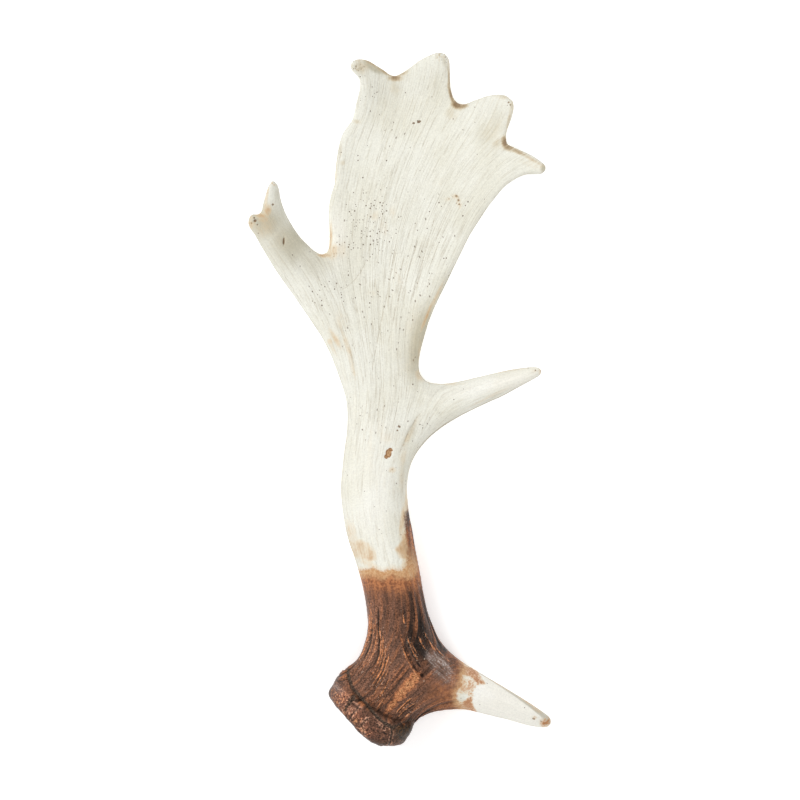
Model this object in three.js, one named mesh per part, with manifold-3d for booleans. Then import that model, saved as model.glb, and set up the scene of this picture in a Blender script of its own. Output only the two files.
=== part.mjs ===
// Shed palmate antler, lying on its back: burr, beam, brow tine, middle tine,
// dished palm with four points, and a forked back tine.
// Millimetres. X across, Y along the antler (burr towards -Y, palm towards +Y), Z up.
// The origin is under the middle of the antler, on the surface it lies on.
import * as THREE from 'three';
import { LoftGeometry } from 'three/addons/geometries/LoftGeometry.js';
import { mergeVertices } from 'three/addons/utils/BufferGeometryUtils.js';
import Module from 'manifold-3d';

// ---- driving dimensions ----------------------------------------------------
const GAP = 0.3;                 // clearance between neighbouring sub-parts
const OFFSET = [-0.70, -1.40];     // centres the bounding box on the origin

const BURR_RADIUS = 39.6;        // ring at the butt
const BURR_THICKNESS = 27;
const BURR_CORNER = 9;           // rounding of its two rims
const BURR_DOME = 5;             // convex seal face
const BURR_WAIST = 1.2;          // shallow hollow round the band
const BURR_BEAD = 0.7;           // uneven beading of the ring
const BURR_CENTRE = [-24.4, -267.8, 38.2];
const BURR_AXIS = [-0.4970, -0.7976, -0.3419];   // from the beam towards the butt

const LIMB_SIDES = 20;           // points round each tine section
const BEAM_SIDES = 34;           // more on the beam, which is guttered
const GUTTER_DEPTH = 1.3;        // lengthwise furrows at the foot of the beam
const GUTTER_COUNT = 17;
const GUTTER_END = -150;         // furrows fade out above this Y

const PALM_COLUMNS = 32;         // steps across the blade
const PALM_ROWS = 15;            // steps from its root to the points
const PALM_EDGE = 5.5;           // exponent of the blade's rounded edge

// Limb stations: left edge x y z, right edge x y z, height of the middle of the
// section, half thickness. Left and right are as seen travelling along the limb.
const BEAM = [
  [-46.9, -260.5, 39.7, -3.5, -284.9, 39.3, 39.4, 16.9],
  [-50.4, -244.1, 39.0, 10.4, -279.8, 37.5, 38.8, 22.8],
  [-46.0, -233.7, 38.4, 27.0, -271.4, 34.1, 38.3, 25.9],
  [-41.3, -228.5, 38.0, 34.8, -260.3, 32.2, 37.6, 27.3],
  [-35.6, -222.5, 37.5, 35.7, -245.5, 31.7, 36.7, 28.2],
  [-31.7, -214.7, 36.9, 34.0, -231.6, 31.6, 35.8, 28.3],
  [-29.1, -206.9, 36.3, 30.9, -217.7, 31.5, 34.9, 27.8],
  [-27.8, -199.1, 35.7, 28.3, -205.5, 31.1, 34.0, 26.9],
  [-27.7, -188.7, 34.9, 25.7, -193.4, 30.7, 33.1, 26.0],
  [-28.7, -179.2, 34.3, 23.3, -182.1, 30.4, 32.4, 25.3],
  [-30.3, -171.4, 34.0, 20.5, -170.8, 30.1, 32.0, 24.9],
  [-32.9, -159.2, 33.5, 18.3, -158.6, 29.8, 31.6, 24.7],
  [-35.9, -148.8, 33.3, 16.3, -147.3, 29.6, 31.3, 24.8],
  [-39.3, -137.5, 33.0, 14.2, -136.4, 29.4, 31.0, 25.0],
  [-43.6, -125.3, 32.8, 12.0, -124.6, 29.2, 30.6, 25.4],
  [-46.8, -113.2, 32.6, 10.0, -112.4, 29.0, 30.3, 25.6],
  [-49.2, -100.1, 32.4, 7.8, -100.2, 28.9, 30.1, 25.8],
  [-50.7, -87.1, 32.1, 6.4, -88.0, 28.9, 29.9, 25.7],
  [-51.1, -75.7, 31.9, 6.1, -76.7, 28.8, 29.7, 25.5],
  [-50.7, -64.4, 31.5, 7.8, -64.5, 28.8, 29.5, 25.2],
  [-49.6, -54.0, 31.1, 10.5, -51.4, 28.7, 29.3, 24.8],
  [-48.1, -41.8, 30.5, 12.2, -37.5, 28.4, 29.0, 24.1],
  [-46.5, -29.6, 29.8, 13.1, -23.5, 27.8, 28.5, 23.2],
  [-45.6, -15.7, 28.7, 14.0, -9.6, 26.8, 27.6, 21.8],
  [-46.2, -3.5, 27.6, 14.7, 3.5, 25.6, 25.9, 20.1],
  [-48.3, 6.1, 26.6, 14.8, 14.0, 24.5, 24.4, 18.8],
  [-51.7, 16.6, 25.8, 15.1, 23.6, 23.4, 22.9, 17.6],
  [-55.8, 28.4, 25.2, 16.6, 34.9, 22.2, 21.4, 16.4],
  [-59.3, 37.5, 24.9, 18.4, 46.3, 21.1, 20.3, 15.6],
  [-62.0, 47.1, 24.8, 21.0, 57.7, 20.0, 19.2, 14.7],
];
const BROW = [
  [-4.3, -217.4, 35.8, -17.4, -281.3, 39.8, 38.2, 27.5],
  [13.9, -208.9, 33.2, 4.3, -279.7, 38.4, 36.4, 27.8],
  [28.7, -205.5, 31.1, 20.0, -274.3, 35.6, 33.8, 25.5],
  [38.3, -215.2, 30.1, 28.7, -271.0, 33.7, 32.1, 23.6],
  [47.9, -224.0, 28.5, 38.3, -269.5, 31.3, 30.0, 21.5],
  [57.6, -230.8, 26.5, 47.1, -269.3, 28.9, 27.6, 19.5],
  [67.2, -236.7, 24.1, 56.7, -270.1, 26.1, 25.0, 17.6],
  [77.8, -243.2, 21.3, 68.1, -272.7, 22.7, 21.9, 15.7],
  [88.3, -249.7, 18.3, 79.6, -275.7, 19.2, 18.7, 13.9],
  [98.9, -256.3, 15.0, 91.0, -278.7, 15.6, 15.3, 12.2],
  [109.6, -263.0, 11.5, 102.6, -282.5, 11.9, 11.6, 10.4],
  [119.3, -269.6, 8.3, 113.2, -285.6, 8.5, 8.3, 8.6],
  [126.9, -274.9, 5.9, 122.5, -287.3, 5.9, 5.8, 6.5],
  [131.3, -279.1, 4.5, 128.9, -287.2, 4.3, 4.3, 4.0],
  [132.4, -282.6, 3.9, 131.5, -285.6, 3.8, 3.8, 2.0],
];
const MIDDLE = [
  [-1.7, 48.1, 19.5, -41.8, -61.0, 30.7, 26.9, 21.0],
  [6.1, 41.9, 20.6, -21.8, -87.1, 29.8, 28.2, 24.3],
  [12.2, 34.9, 21.9, -5.2, -87.1, 29.1, 28.1, 21.6],
  [16.2, 27.9, 23.0, 6.5, -69.7, 28.8, 27.7, 20.1],
  [18.8, 20.5, 24.0, 11.3, -51.4, 28.7, 27.3, 19.7],
  [24.0, 16.1, 24.9, 20.9, -37.5, 28.5, 27.1, 18.5],
  [31.4, 14.3, 25.8, 31.4, -27.5, 28.4, 27.3, 17.1],
  [41.9, 14.7, 26.9, 42.7, -19.2, 28.8, 28.0, 15.4],
  [53.2, 16.6, 28.4, 55.3, -12.2, 29.8, 29.3, 13.8],
  [65.3, 19.2, 30.2, 67.9, -5.9, 31.2, 30.8, 12.4],
  [78.3, 22.4, 32.4, 80.5, 0.0, 33.0, 32.8, 11.1],
  [91.3, 25.2, 35.0, 92.6, 5.6, 35.0, 35.0, 9.6],
  [102.5, 27.5, 37.5, 103.4, 11.3, 37.2, 37.3, 8.0],
  [112.0, 28.7, 39.7, 112.5, 16.2, 39.3, 39.5, 6.2],
  [118.0, 28.7, 41.1, 118.5, 20.0, 40.8, 41.0, 4.4],
  [121.2, 27.2, 41.8, 121.5, 22.0, 41.5, 41.7, 2.8],
  [122.5, 25.7, 42.0, 122.5, 24.1, 41.9, 41.9, 1.4],
];
const BACK = [
  [-47.1, 4.4, 26.7, -24.5, 87.6, 15.3, 21.0, 15.3],
  [-54.1, 23.6, 25.4, -38.5, 101.6, 15.4, 21.2, 13.7],
  [-61.0, 41.0, 25.0, -49.9, 115.5, 16.7, 22.7, 12.4],
  [-67.4, 53.2, 25.7, -60.8, 124.6, 19.3, 25.3, 11.6],
  [-74.3, 64.4, 27.4, -68.7, 126.7, 22.5, 27.5, 11.0],
  [-81.5, 74.9, 29.8, -75.5, 130.3, 26.0, 30.0, 10.6],
  [-89.2, 86.2, 32.4, -82.3, 137.2, 30.3, 32.6, 10.1],
  [-97.0, 97.4, 35.4, -88.9, 144.4, 35.1, 36.9, 9.9],
  [-104.6, 108.3, 40.5, -94.6, 152.8, 40.4, 41.8, 9.9],
  [-112.2, 120.0, 46.8, -98.8, 160.8, 45.7, 46.4, 9.9],
];
const STUB = [
  [-104.6, 108.3, 40.5, -95.5, 151.0, 40.8, 41.9, 9.9],
  [-112.2, 120.0, 46.8, -101.4, 155.1, 46.3, 46.8, 9.9],
  [-118.5, 130.6, 52.4, -107.3, 157.0, 51.4, 51.8, 9.8],
  [-123.0, 138.6, 57.0, -113.5, 158.2, 56.5, 56.5, 9.2],
  [-126.7, 144.8, 61.2, -119.0, 159.5, 61.0, 60.9, 7.7],
  [-129.4, 148.3, 64.1, -123.1, 159.7, 64.2, 64.1, 6.0],
  [-130.6, 152.3, 66.5, -126.7, 159.8, 66.8, 66.6, 3.6],
];
const SPIKE = [
  [-106.7, 119.7, 43.9, -94.6, 152.8, 40.4, 42.9, 9.9],
  [-115.9, 138.3, 52.5, -96.3, 154.9, 42.1, 47.9, 9.9],
  [-119.9, 153.5, 59.2, -98.8, 159.9, 45.5, 52.9, 9.3],
  [-120.3, 160.8, 62.6, -101.3, 166.2, 49.7, 56.6, 8.2],
  [-118.5, 166.6, 64.1, -102.9, 171.1, 53.2, 59.1, 7.3],
  [-115.5, 177.6, 67.4, -104.5, 180.7, 59.0, 63.6, 5.4],
  [-113.9, 182.7, 68.3, -105.7, 185.0, 61.9, 65.4, 4.1],
  [-111.6, 186.6, 68.0, -107.3, 187.8, 64.4, 66.3, 2.4],
  [-110.1, 188.2, 67.1, -109.0, 188.6, 66.2, 66.6, 1.1],
];

// Palm: outline of the blade as left edge, right edge and the scalloped rim that
// joins them over the four points, each x y.
const PALM_LEFT = [
  [-54.1, 19.2],
  [-55.9, 30.8],
  [-57.7, 42.4],
  [-59.8, 53.9],
  [-62.0, 65.5],
  [-64.0, 77.0],
  [-66.1, 88.5],
  [-67.7, 100.1],
  [-69.4, 111.8],
  [-68.9, 123.6],
  [-62.8, 132.1],
  [-61.6, 143.8],
  [-62.1, 155.6],
  [-62.3, 167.4],
  [-60.6, 179.1],
  [-57.2, 190.3],
  [-56.1, 201.9],
  [-55.0, 213.6],
  [-52.7, 225.1],
  [-48.2, 235.7],
  [-41.7, 245.3],
  [-38.7, 256.4],
  [-36.0, 267.5],
  [-35.4, 278.5],
  [-42.2, 287.1],
];
const PALM_RIGHT = [
  [16.6, 31.4],
  [18.0, 44.4],
  [21.5, 57.1],
  [25.6, 69.5],
  [30.6, 81.6],
  [36.1, 93.5],
  [41.9, 105.3],
  [47.6, 117.0],
  [53.4, 128.7],
  [59.1, 140.5],
  [65.5, 151.8],
  [72.5, 162.7],
  [80.2, 173.1],
  [88.4, 183.0],
  [98.2, 191.0],
  [109.9, 195.7],
  [122.5, 195.8],
];
// rim points: fraction of the way across, x, y
const PALM_RIM = [
  [0.0000, -42.2, 287.1],
  [0.0312, -41.5, 292.4],
  [0.0625, -36.6, 295.1],
  [0.0938, -30.8, 295.0],
  [0.1250, -25.3, 293.2],
  [0.1562, -20.1, 290.7],
  [0.1875, -15.1, 287.8],
  [0.2188, -10.3, 284.6],
  [0.2500, -4.8, 282.7],
  [0.2817, 2.1, 285.5],
  [0.3133, 8.4, 289.5],
  [0.3450, 14.6, 293.6],
  [0.3767, 20.9, 297.4],
  [0.4083, 27.6, 300.5],
  [0.4400, 34.8, 302.2],
  [0.4720, 42.1, 296.3],
  [0.5040, 43.2, 286.6],
  [0.5360, 43.7, 276.7],
  [0.5680, 45.9, 267.0],
  [0.6000, 51.6, 258.9],
  [0.6300, 60.0, 259.6],
  [0.6600, 68.1, 262.3],
  [0.6900, 76.2, 264.7],
  [0.7200, 84.6, 265.6],
  [0.7500, 92.9, 263.4],
  [0.7800, 98.1, 255.8],
  [0.8100, 96.8, 246.8],
  [0.8400, 94.1, 238.0],
  [0.8700, 91.9, 228.9],
  [0.9025, 99.1, 219.2],
  [0.9350, 111.0, 213.5],
  [0.9675, 122.0, 206.1],
  [1.0000, 122.5, 195.8],
];
// the dish: height of the middle of the blade, at these fractions across and in
// even rows from root to rim
const PALM_ACROSS = [0.00, 0.10, 0.22, 0.33, 0.44, 0.52, 0.60, 0.68, 0.75, 0.82, 0.87, 0.94, 1.00];
const PALM_HEIGHT = [
  [25.8, 24.8, 23.8, 23.0, 22.4, 22.1, 22.0, 21.9, 21.9, 22.0, 22.2, 22.4, 22.6],
  [24.1, 22.5, 20.9, 19.5, 18.4, 18.2, 18.2, 17.9, 18.0, 18.4, 18.7, 19.5, 20.1],
  [25.9, 22.5, 18.5, 15.5, 13.5, 13.6, 14.1, 13.9, 14.3, 15.2, 15.8, 17.3, 18.6],
  [22.9, 18.3, 14.4, 11.2, 9.1, 9.6, 10.4, 10.9, 12.2, 13.5, 14.1, 16.8, 18.7],
  [15.5, 10.6, 8.2, 6.8, 7.0, 7.5, 8.5, 10.2, 12.4, 13.8, 14.1, 17.7, 20.0],
  [14.7, 11.1, 7.8, 7.9, 8.5, 8.5, 8.9, 11.2, 14.3, 15.3, 15.1, 19.5, 22.2],
  [17.7, 15.4, 10.7, 10.8, 12.0, 11.1, 11.0, 14.9, 19.1, 19.4, 18.3, 23.0, 25.9],
  [23.3, 23.0, 15.8, 15.9, 20.8, 16.7, 15.5, 20.0, 25.6, 25.6, 24.3, 30.4, 33.8],
  [39.1, 37.3, 25.8, 26.7, 33.3, 25.9, 20.1, 28.6, 38.8, 36.4, 32.5, 43.6, 48.9],
];
// half thickness of the blade on the same net
const PALM_HALF = [
  [8.6, 11.4, 15.4, 16.7, 17.1, 17.0, 16.7, 16.2, 15.5, 14.4, 13.0, 9.6, 9.6],
  [12.4, 13.1, 14.0, 13.9, 13.3, 13.3, 13.3, 12.8, 12.3, 11.8, 11.4, 8.7, 8.7],
  [11.5, 11.6, 11.6, 11.1, 10.4, 10.5, 10.5, 10.2, 9.9, 9.9, 9.9, 8.2, 8.2],
  [3.9, 7.0, 9.0, 9.0, 8.8, 9.0, 9.1, 8.9, 8.7, 8.8, 8.9, 7.9, 7.9],
  [6.1, 7.2, 7.9, 8.0, 7.9, 8.1, 8.3, 8.0, 7.8, 7.9, 8.1, 7.5, 7.5],
  [5.2, 6.4, 7.2, 7.4, 7.4, 7.6, 7.7, 7.5, 7.3, 7.4, 7.5, 7.2, 7.2],
  [3.8, 5.7, 6.6, 6.9, 6.8, 7.2, 7.4, 7.2, 7.0, 7.1, 7.1, 7.0, 7.0],
  [4.1, 5.9, 6.2, 6.2, 6.3, 6.2, 6.7, 6.2, 6.4, 6.8, 7.0, 7.2, 7.2],
  [5.3, 6.3, 6.1, 6.1, 6.3, 5.3, 6.2, 5.4, 6.2, 6.4, 6.8, 6.8, 6.8],
];

// Where the trunk and the branches part: two points on each fork line, and how far
// the branch reaches beyond it.
const FORKS = {
  back_tine: { line: [[-106.2, 110.1], [-71.8, 127.6]], reach: 150, over: [14, 5.5] },
  middle_tine: { line: [[22.2, 16.9], [30.9, -28.8]], reach: 150, over: [16, 24] },
  brow_tine: { line: [[48.8, -224.5], [31.8, -270.9]], reach: 150, over: [22, 5] },
  palm: { line: [[-58.1, 33.2], [17.5, 40.2]], reach: 330, over: [120, 160] },
  beam: { line: [[-34.7, -154.1], [17.2, -148.9]], reach: 240, over: [120, 160] },
};

// ---- materials -------------------------------------------------------------
const ivory = (name) => new THREE.MeshStandardMaterial({ name, color: 0xeae6db, roughness: 0.62, metalness: 0 });
const brown = (name) => new THREE.MeshStandardMaterial({ name, color: 0x6b4330, roughness: 0.5, metalness: 0 });

// ---- solids ----------------------------------------------------------------
const wasm = await Module();
wasm.setup();

function toSolid(geometry) {
  const bare = new THREE.BufferGeometry();
  bare.setAttribute('position', geometry.attributes.position);
  bare.setIndex(geometry.index);
  const m = mergeVertices(bare, 1e-4);
  const index = Array.from(m.index.array);
  const tri = [];
  for (let i = 0; i < index.length; i += 3) {
    const [p, q, r] = [index[i], index[i + 1], index[i + 2]];
    if (p !== q && q !== r && r !== p) tri.push(p, q, r);
  }
  return new wasm.Manifold(new wasm.Mesh({
    numProp: 3,
    vertProperties: new Float32Array(m.attributes.position.array),
    triVerts: new Uint32Array(tri),
  }));
}

function toGeometry(solid) {
  const m = solid.getMesh();
  const g = new THREE.BufferGeometry();
  g.setAttribute('position', new THREE.BufferAttribute(new Float32Array(m.vertProperties), 3));
  g.setIndex(Array.from(m.triVerts));
  const flat = g.toNonIndexed();
  flat.computeVertexNormals();
  return flat;
}

// One closed section of a limb: an ellipse hung between its two edge points, on a
// middle line that bows through the section's own middle height.
function section(station, sides, relief) {
  const [lx, ly, lz, rx, ry, rz, zc, h] = station;
  const ring = [];
  for (let i = 0; i < sides; i++) {
    const a = (2 * Math.PI * i) / sides;
    const s = -Math.cos(a);                    // -1 left edge, +1 right edge
    const q = (s + 1) / 2;
    const zm = lz * (1 - q) + rz * q + (zc - (lz + rz) / 2) * (1 - s * s);
    const bump = relief ? relief(a, s, station) : 0;
    ring.push(new THREE.Vector3(
      lx * (1 - q) + rx * q,
      ly * (1 - q) + ry * q,
      zm + Math.sin(a) * (h + bump),
    ));
  }
  return ring;
}

function limb(stations, sides = LIMB_SIDES, relief = null) {
  const rings = stations.map((s) => section(s, sides, relief));
  return toSolid(new LoftGeometry(rings, { capStart: true, capEnd: true }));
}

// Furrows follow the beam and die out upwards.
function gutters(a, s, station) {
  const y = (station[1] + station[4]) / 2;
  const fade = THREE.MathUtils.smoothstep(-y, -GUTTER_END, -GUTTER_END + 45);
  return -GUTTER_DEPTH * fade * (0.5 + 0.5 * Math.cos(GUTTER_COUNT * a + 0.02 * y));
}

function lerpList(list, u) {
  const x = Math.min(Math.max(u, 0), 1) * (list.length - 1);
  const i = Math.min(Math.floor(x), list.length - 2);
  return list[i].map((v, k) => v + (list[i + 1][k] - v) * (x - i));
}

function rimAt(s) {
  let i = 0;
  while (i < PALM_RIM.length - 2 && PALM_RIM[i + 1][0] < s) i++;
  const [a, b] = [PALM_RIM[i], PALM_RIM[i + 1]];
  const f = (s - a[0]) / (b[0] - a[0]);
  return [a[1] + (b[1] - a[1]) * f, a[2] + (b[2] - a[2]) * f];
}

// The blade's plan is a patch stretched between its four sides.
function planAt(s, t) {
  const [l, r, top] = [lerpList(PALM_LEFT, t), lerpList(PALM_RIGHT, t), rimAt(s)];
  const [l0, r0] = [PALM_LEFT[0], PALM_RIGHT[0]];
  const [l1, r1] = [PALM_RIM[0].slice(1), PALM_RIM[PALM_RIM.length - 1].slice(1)];
  return [0, 1].map((k) => {
    const foot = l0[k] * (1 - s) + r0[k] * s;
    return (1 - s) * l[k] + s * r[k] + (1 - t) * foot + t * top[k]
      - ((1 - s) * (1 - t) * l0[k] + s * (1 - t) * r0[k] + (1 - s) * t * l1[k] + s * t * r1[k]);
  });
}

const spline = (a, b, c, d, f) => b + 0.5 * f * (c - a + f * (2 * a - 5 * b + 4 * c - d + f * (3 * (b - c) + d - a)));

function netAt(net, s, t) {
  let i = 0;
  while (i < PALM_ACROSS.length - 2 && PALM_ACROSS[i + 1] < s) i++;
  const f = (s - PALM_ACROSS[i]) / (PALM_ACROSS[i + 1] - PALM_ACROSS[i]);
  const x = Math.min(t, 1) * (net.length - 1);
  const j = Math.min(Math.floor(x), net.length - 2);
  const row = (k) => {
    const r = net[Math.min(Math.max(k, 0), net.length - 1)];
    return r[i] * (1 - f) + r[i + 1] * f;
  };
  return spline(row(j - 1), row(j), row(j + 1), row(j + 2), x - j);
}

function palm() {
  const stops = [];
  for (let j = 0; j <= PALM_ROWS; j++) stops.push([0.985 * (j / PALM_ROWS) ** 0.9, 1]);
  stops.push([0.993, 0.8], [1, 0.42]);
  // columns gather at the points and notches of the rim
  const columns = [];
  for (let i = 0; i <= PALM_COLUMNS; i++) columns.push(i / PALM_COLUMNS);
  const rings = stops.map(([t, cap]) => {
    const top = [];
    const under = [];
    columns.forEach((s) => {
      const [x, y] = planAt(s, t);
      const zm = netAt(PALM_HEIGHT, s, t);
      const edge = (1 - Math.abs(2 * s - 1) ** PALM_EDGE) ** (1 / 2.2);
      const h = netAt(PALM_HALF, s, t) * edge * cap;
      if (s === 0 || s === 1) top.push(new THREE.Vector3(x, y, zm));
      else {
        top.push(new THREE.Vector3(x, y, zm + h));
        under.unshift(new THREE.Vector3(x, y, zm - h));
      }
    });
    return [...top, ...under];
  });
  return toSolid(new LoftGeometry(rings, { capStart: true, capEnd: true }));
}

// The burr is a thick ring turned about its own axis, beaded round its rim.
function burr() {
  const [r, t, c] = [BURR_RADIUS, BURR_THICKNESS, BURR_CORNER];
  const profile = [new THREE.Vector2(0, -t / 2)];
  for (let i = 0; i <= 4; i++) {
    const a = -Math.PI / 2 + (Math.PI / 2) * (i / 4);
    profile.push(new THREE.Vector2(r - c + c * Math.cos(a), -t / 2 + c + c * Math.sin(a)));
  }
  profile.push(new THREE.Vector2(r - BURR_WAIST, 0));
  for (let i = 0; i <= 4; i++) {
    const a = (Math.PI / 2) * (i / 4);
    profile.push(new THREE.Vector2(r - c + c * Math.cos(a), t / 2 - c + c * Math.sin(a)));
  }
  profile.push(new THREE.Vector2(r * 0.45, t / 2 + BURR_DOME * 0.8));
  profile.push(new THREE.Vector2(0, t / 2 + BURR_DOME));
  const g = new THREE.LatheGeometry(profile, 36);
  const p = g.attributes.position;
  for (let i = 0; i < p.count; i++) {
    const [x, y, z] = [p.getX(i), p.getY(i), p.getZ(i)];
    const rad = Math.hypot(x, z);
    if (rad < r * 0.5) continue;
    const a = Math.atan2(z, x);
    const bead = 1 + (BURR_BEAD / r) * (Math.sin(7 * a + 0.6) + 0.6 * Math.sin(12 * a + 2.1)) * ((rad - r * 0.5) / (r * 0.5));
    p.setXYZ(i, x * bead, y, z * bead);
  }
  g.applyQuaternion(new THREE.Quaternion().setFromUnitVectors(
    new THREE.Vector3(0, 1, 0), new THREE.Vector3(...BURR_AXIS).normalize()));
  g.translate(...BURR_CENTRE);
  return toSolid(g);
}

// ---- the whole antler, then its forks --------------------------------------
let whole = limb(BEAM, BEAM_SIDES, gutters);
for (const s of [limb(BROW), limb(MIDDLE), limb(BACK), limb(STUB), limb(SPIKE), palm(), burr()]) whole = whole.add(s);

// the three places it lies on are worn flat at Z = 0
const under = new THREE.BoxGeometry(800, 1200, 100);
under.translate(0, 0, -50);
whole = whole.subtract(toSolid(under));

function beyond({ line: [[ax, ay], [bx, by]], reach, over }, back) {
  const along = new THREE.Vector2(bx - ax, by - ay);
  const length = along.length();
  along.normalize();
  const out = new THREE.Vector2(-along.y, along.x);
  const box = new THREE.BoxGeometry(length + over[0] + over[1], reach + back, 400);
  const mid = (length + over[1] - over[0]) / 2;
  const far = (reach - back) / 2;
  box.rotateZ(Math.atan2(along.y, along.x));
  box.translate(ax + along.x * mid + out.x * far, ay + along.y * mid + out.y * far, 100);
  return toSolid(box);
}

const solids = {};
let rest = whole;
for (const [name, fork] of Object.entries(FORKS)) {
  solids[name] = rest.intersect(beyond(fork, 0));
  rest = rest.subtract(beyond(fork, GAP));
}
solids.burr_base = rest;

const group = new THREE.Group();
for (const name of ['burr_base', 'brow_tine', 'beam', 'middle_tine', 'palm', 'back_tine']) {
  const mesh = new THREE.Mesh(toGeometry(solids[name]), name === 'burr_base' ? brown(name) : ivory(name));
  mesh.name = name;
  mesh.position.set(OFFSET[0], OFFSET[1], 0);
  group.add(mesh);
}

export default group;
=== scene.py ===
# Palmate antler lying on a pale floor, seen from straight above.
# The solid is grown from its outline: the outline is inflated into a body whose
# half thickness follows a screened Poisson field, hung on a curved middle surface,
# joined to the burr, meshed, and then carved with its furrows, fibres, cracks and pits.
import bpy
import math
import numpy as np
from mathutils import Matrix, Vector


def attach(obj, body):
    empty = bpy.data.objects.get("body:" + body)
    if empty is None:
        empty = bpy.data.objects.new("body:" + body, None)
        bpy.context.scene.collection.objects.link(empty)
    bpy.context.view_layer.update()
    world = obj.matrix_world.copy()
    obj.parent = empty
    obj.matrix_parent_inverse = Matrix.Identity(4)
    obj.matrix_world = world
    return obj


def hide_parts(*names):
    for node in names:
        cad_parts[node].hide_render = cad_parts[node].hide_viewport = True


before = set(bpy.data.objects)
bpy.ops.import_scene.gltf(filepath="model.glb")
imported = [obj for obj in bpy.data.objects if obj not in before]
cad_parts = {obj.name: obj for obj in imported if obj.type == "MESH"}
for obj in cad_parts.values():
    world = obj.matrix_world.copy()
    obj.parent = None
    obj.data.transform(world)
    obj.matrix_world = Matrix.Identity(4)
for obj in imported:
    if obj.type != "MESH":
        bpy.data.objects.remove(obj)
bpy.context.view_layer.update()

# ---- scale and view ---------------------------------------------------------
S = 0.88                    # mm per picture unit at the floor; the frame is 800 units
CAM = 3000.0                # camera height, mm
SHIFT = (-0.70, -1.40)      # puts the middle of the bounding box on the origin, mm
H = 0.8                     # working grid, mm
X0, X1, Y0, Y1 = -142.0, 142.0, -322.0, 316.0

# outline of the body without the burr, clockwise, picture units
OUT = [
    (433, 54.2), (440, 52.7), (446.5, 55.2), (449.3, 62), (449.6, 75), (450.4, 88), (454.0, 99.2), (459, 103.8),
    (465, 104.2), (475.5, 100.2), (487, 96.2), (498, 94.6), (507, 96.8), (512.2, 101.5), (513.3, 107), (510.8, 119),
    (507.2, 129), (505.6, 137), (507.0, 144.3), (512.5, 147.3), (519, 149.9), (530, 154.8), (539, 160.2), (544.6, 165),
    (545.6, 169.3), (541.5, 173.8), (534, 174.4), (527, 174.4), (519, 177.0), (511, 181.6), (504, 187), (494, 198.8),
    (484.3, 211.8), (476.2, 224.2), (468.2, 238), (459.7, 255.5), (451.7, 271.8), (443, 289.5), (435, 306.5), (428.3, 323),
    (423.5, 338), (419.8, 352), (418.4, 364), (420.6, 374.8), (427, 381.3), (437, 383.5), (448, 383.2), (462, 380.9),
    (479.5, 377), (496, 372.9), (513, 369.3), (530, 366.9), (538.3, 367.4), (541.4, 370.3), (540.4, 374.4), (533, 379.5),
    (522, 385.3), (511.6, 391), (500, 397), (487, 402.8), (473.5, 409), (460, 415.8), (446, 424), (434, 433),
    (423.5, 443.3), (415, 455), (409.7, 467), (407.2, 480), (406.7, 492), (407.5, 503), (409, 515), (411.5, 529),
    (414, 545), (417, 561), (420, 577), (423.3, 594), (427, 611), (431.5, 625), (438.7, 640), (447, 650),
    (456.5, 658.3), (466, 664.6), (475.5, 670.3), (493, 680.7), (515.5, 694.2), (532, 704.5), (543, 712), (549.6, 717.6),
    (550.8, 722.6), (547.5, 726.8), (539, 727.2), (528, 725.3), (517, 722.3), (508, 719.6), (495, 716.4), (483, 713.4),
    (471, 710.4), (459, 709), (445, 709.5), (431, 712), (422, 716), (408, 724), (392, 730), (372, 728),
    (350, 708), (338, 690), (341, 676), (350.6, 665.5), (356, 661), (360.8, 654), (365, 643.5), (367.8, 633),
    (368.5, 622), (367.5, 611), (365.2, 597), (362.2, 583), (358.8, 571), (354.8, 558), (349.9, 544), (346.2, 530),
    (343.5, 515), (341.8, 500), (341.3, 488), (341.8, 476), (343, 465), (344.3, 452), (346, 440), (347.4, 428),
    (347.7, 416), (347, 404), (344.6, 393), (340.7, 381), (336, 367.5), (330.1, 353), (322.8, 339), (314.8, 326.2),
    (304, 310.4), (291.5, 292.6), (278, 273.3), (265.6, 253.5), (259.4, 243), (254.2, 233.8), (250.2, 228.6), (248.2, 223),
    (249.4, 217), (252.6, 214.2), (257, 214.6), (261.2, 212.2), (263.2, 203), (265.7, 194), (268.7, 185), (272.3, 180.8),
    (276, 182.5), (278.6, 188.5), (280.2, 198.5), (284.2, 211), (290.3, 222.8), (298.5, 235), (307.5, 245), (315, 251.8),
    (321.3, 254.7), (326.8, 252.6), (329.2, 246), (329.6, 234), (329, 222), (328.8, 208.5), (330.8, 195.5), (334.6, 184),
    (335.6, 174), (336.6, 160), (338.5, 147), (341.7, 135.7), (346.5, 127.8), (351.8, 121), (354.5, 112), (356.5, 102),
    (359.4, 90.5), (360.2, 83), (358.3, 77), (354.4, 73), (351.4, 69.5), (351, 64.8), (353.7, 61), (359, 59.8),
    (367, 60.8), (375, 65), (383, 70), (389, 74.4), (394.5, 76.2), (401, 73.8), (409.6, 68.2), (420, 61),
    (427, 57),
]

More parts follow.
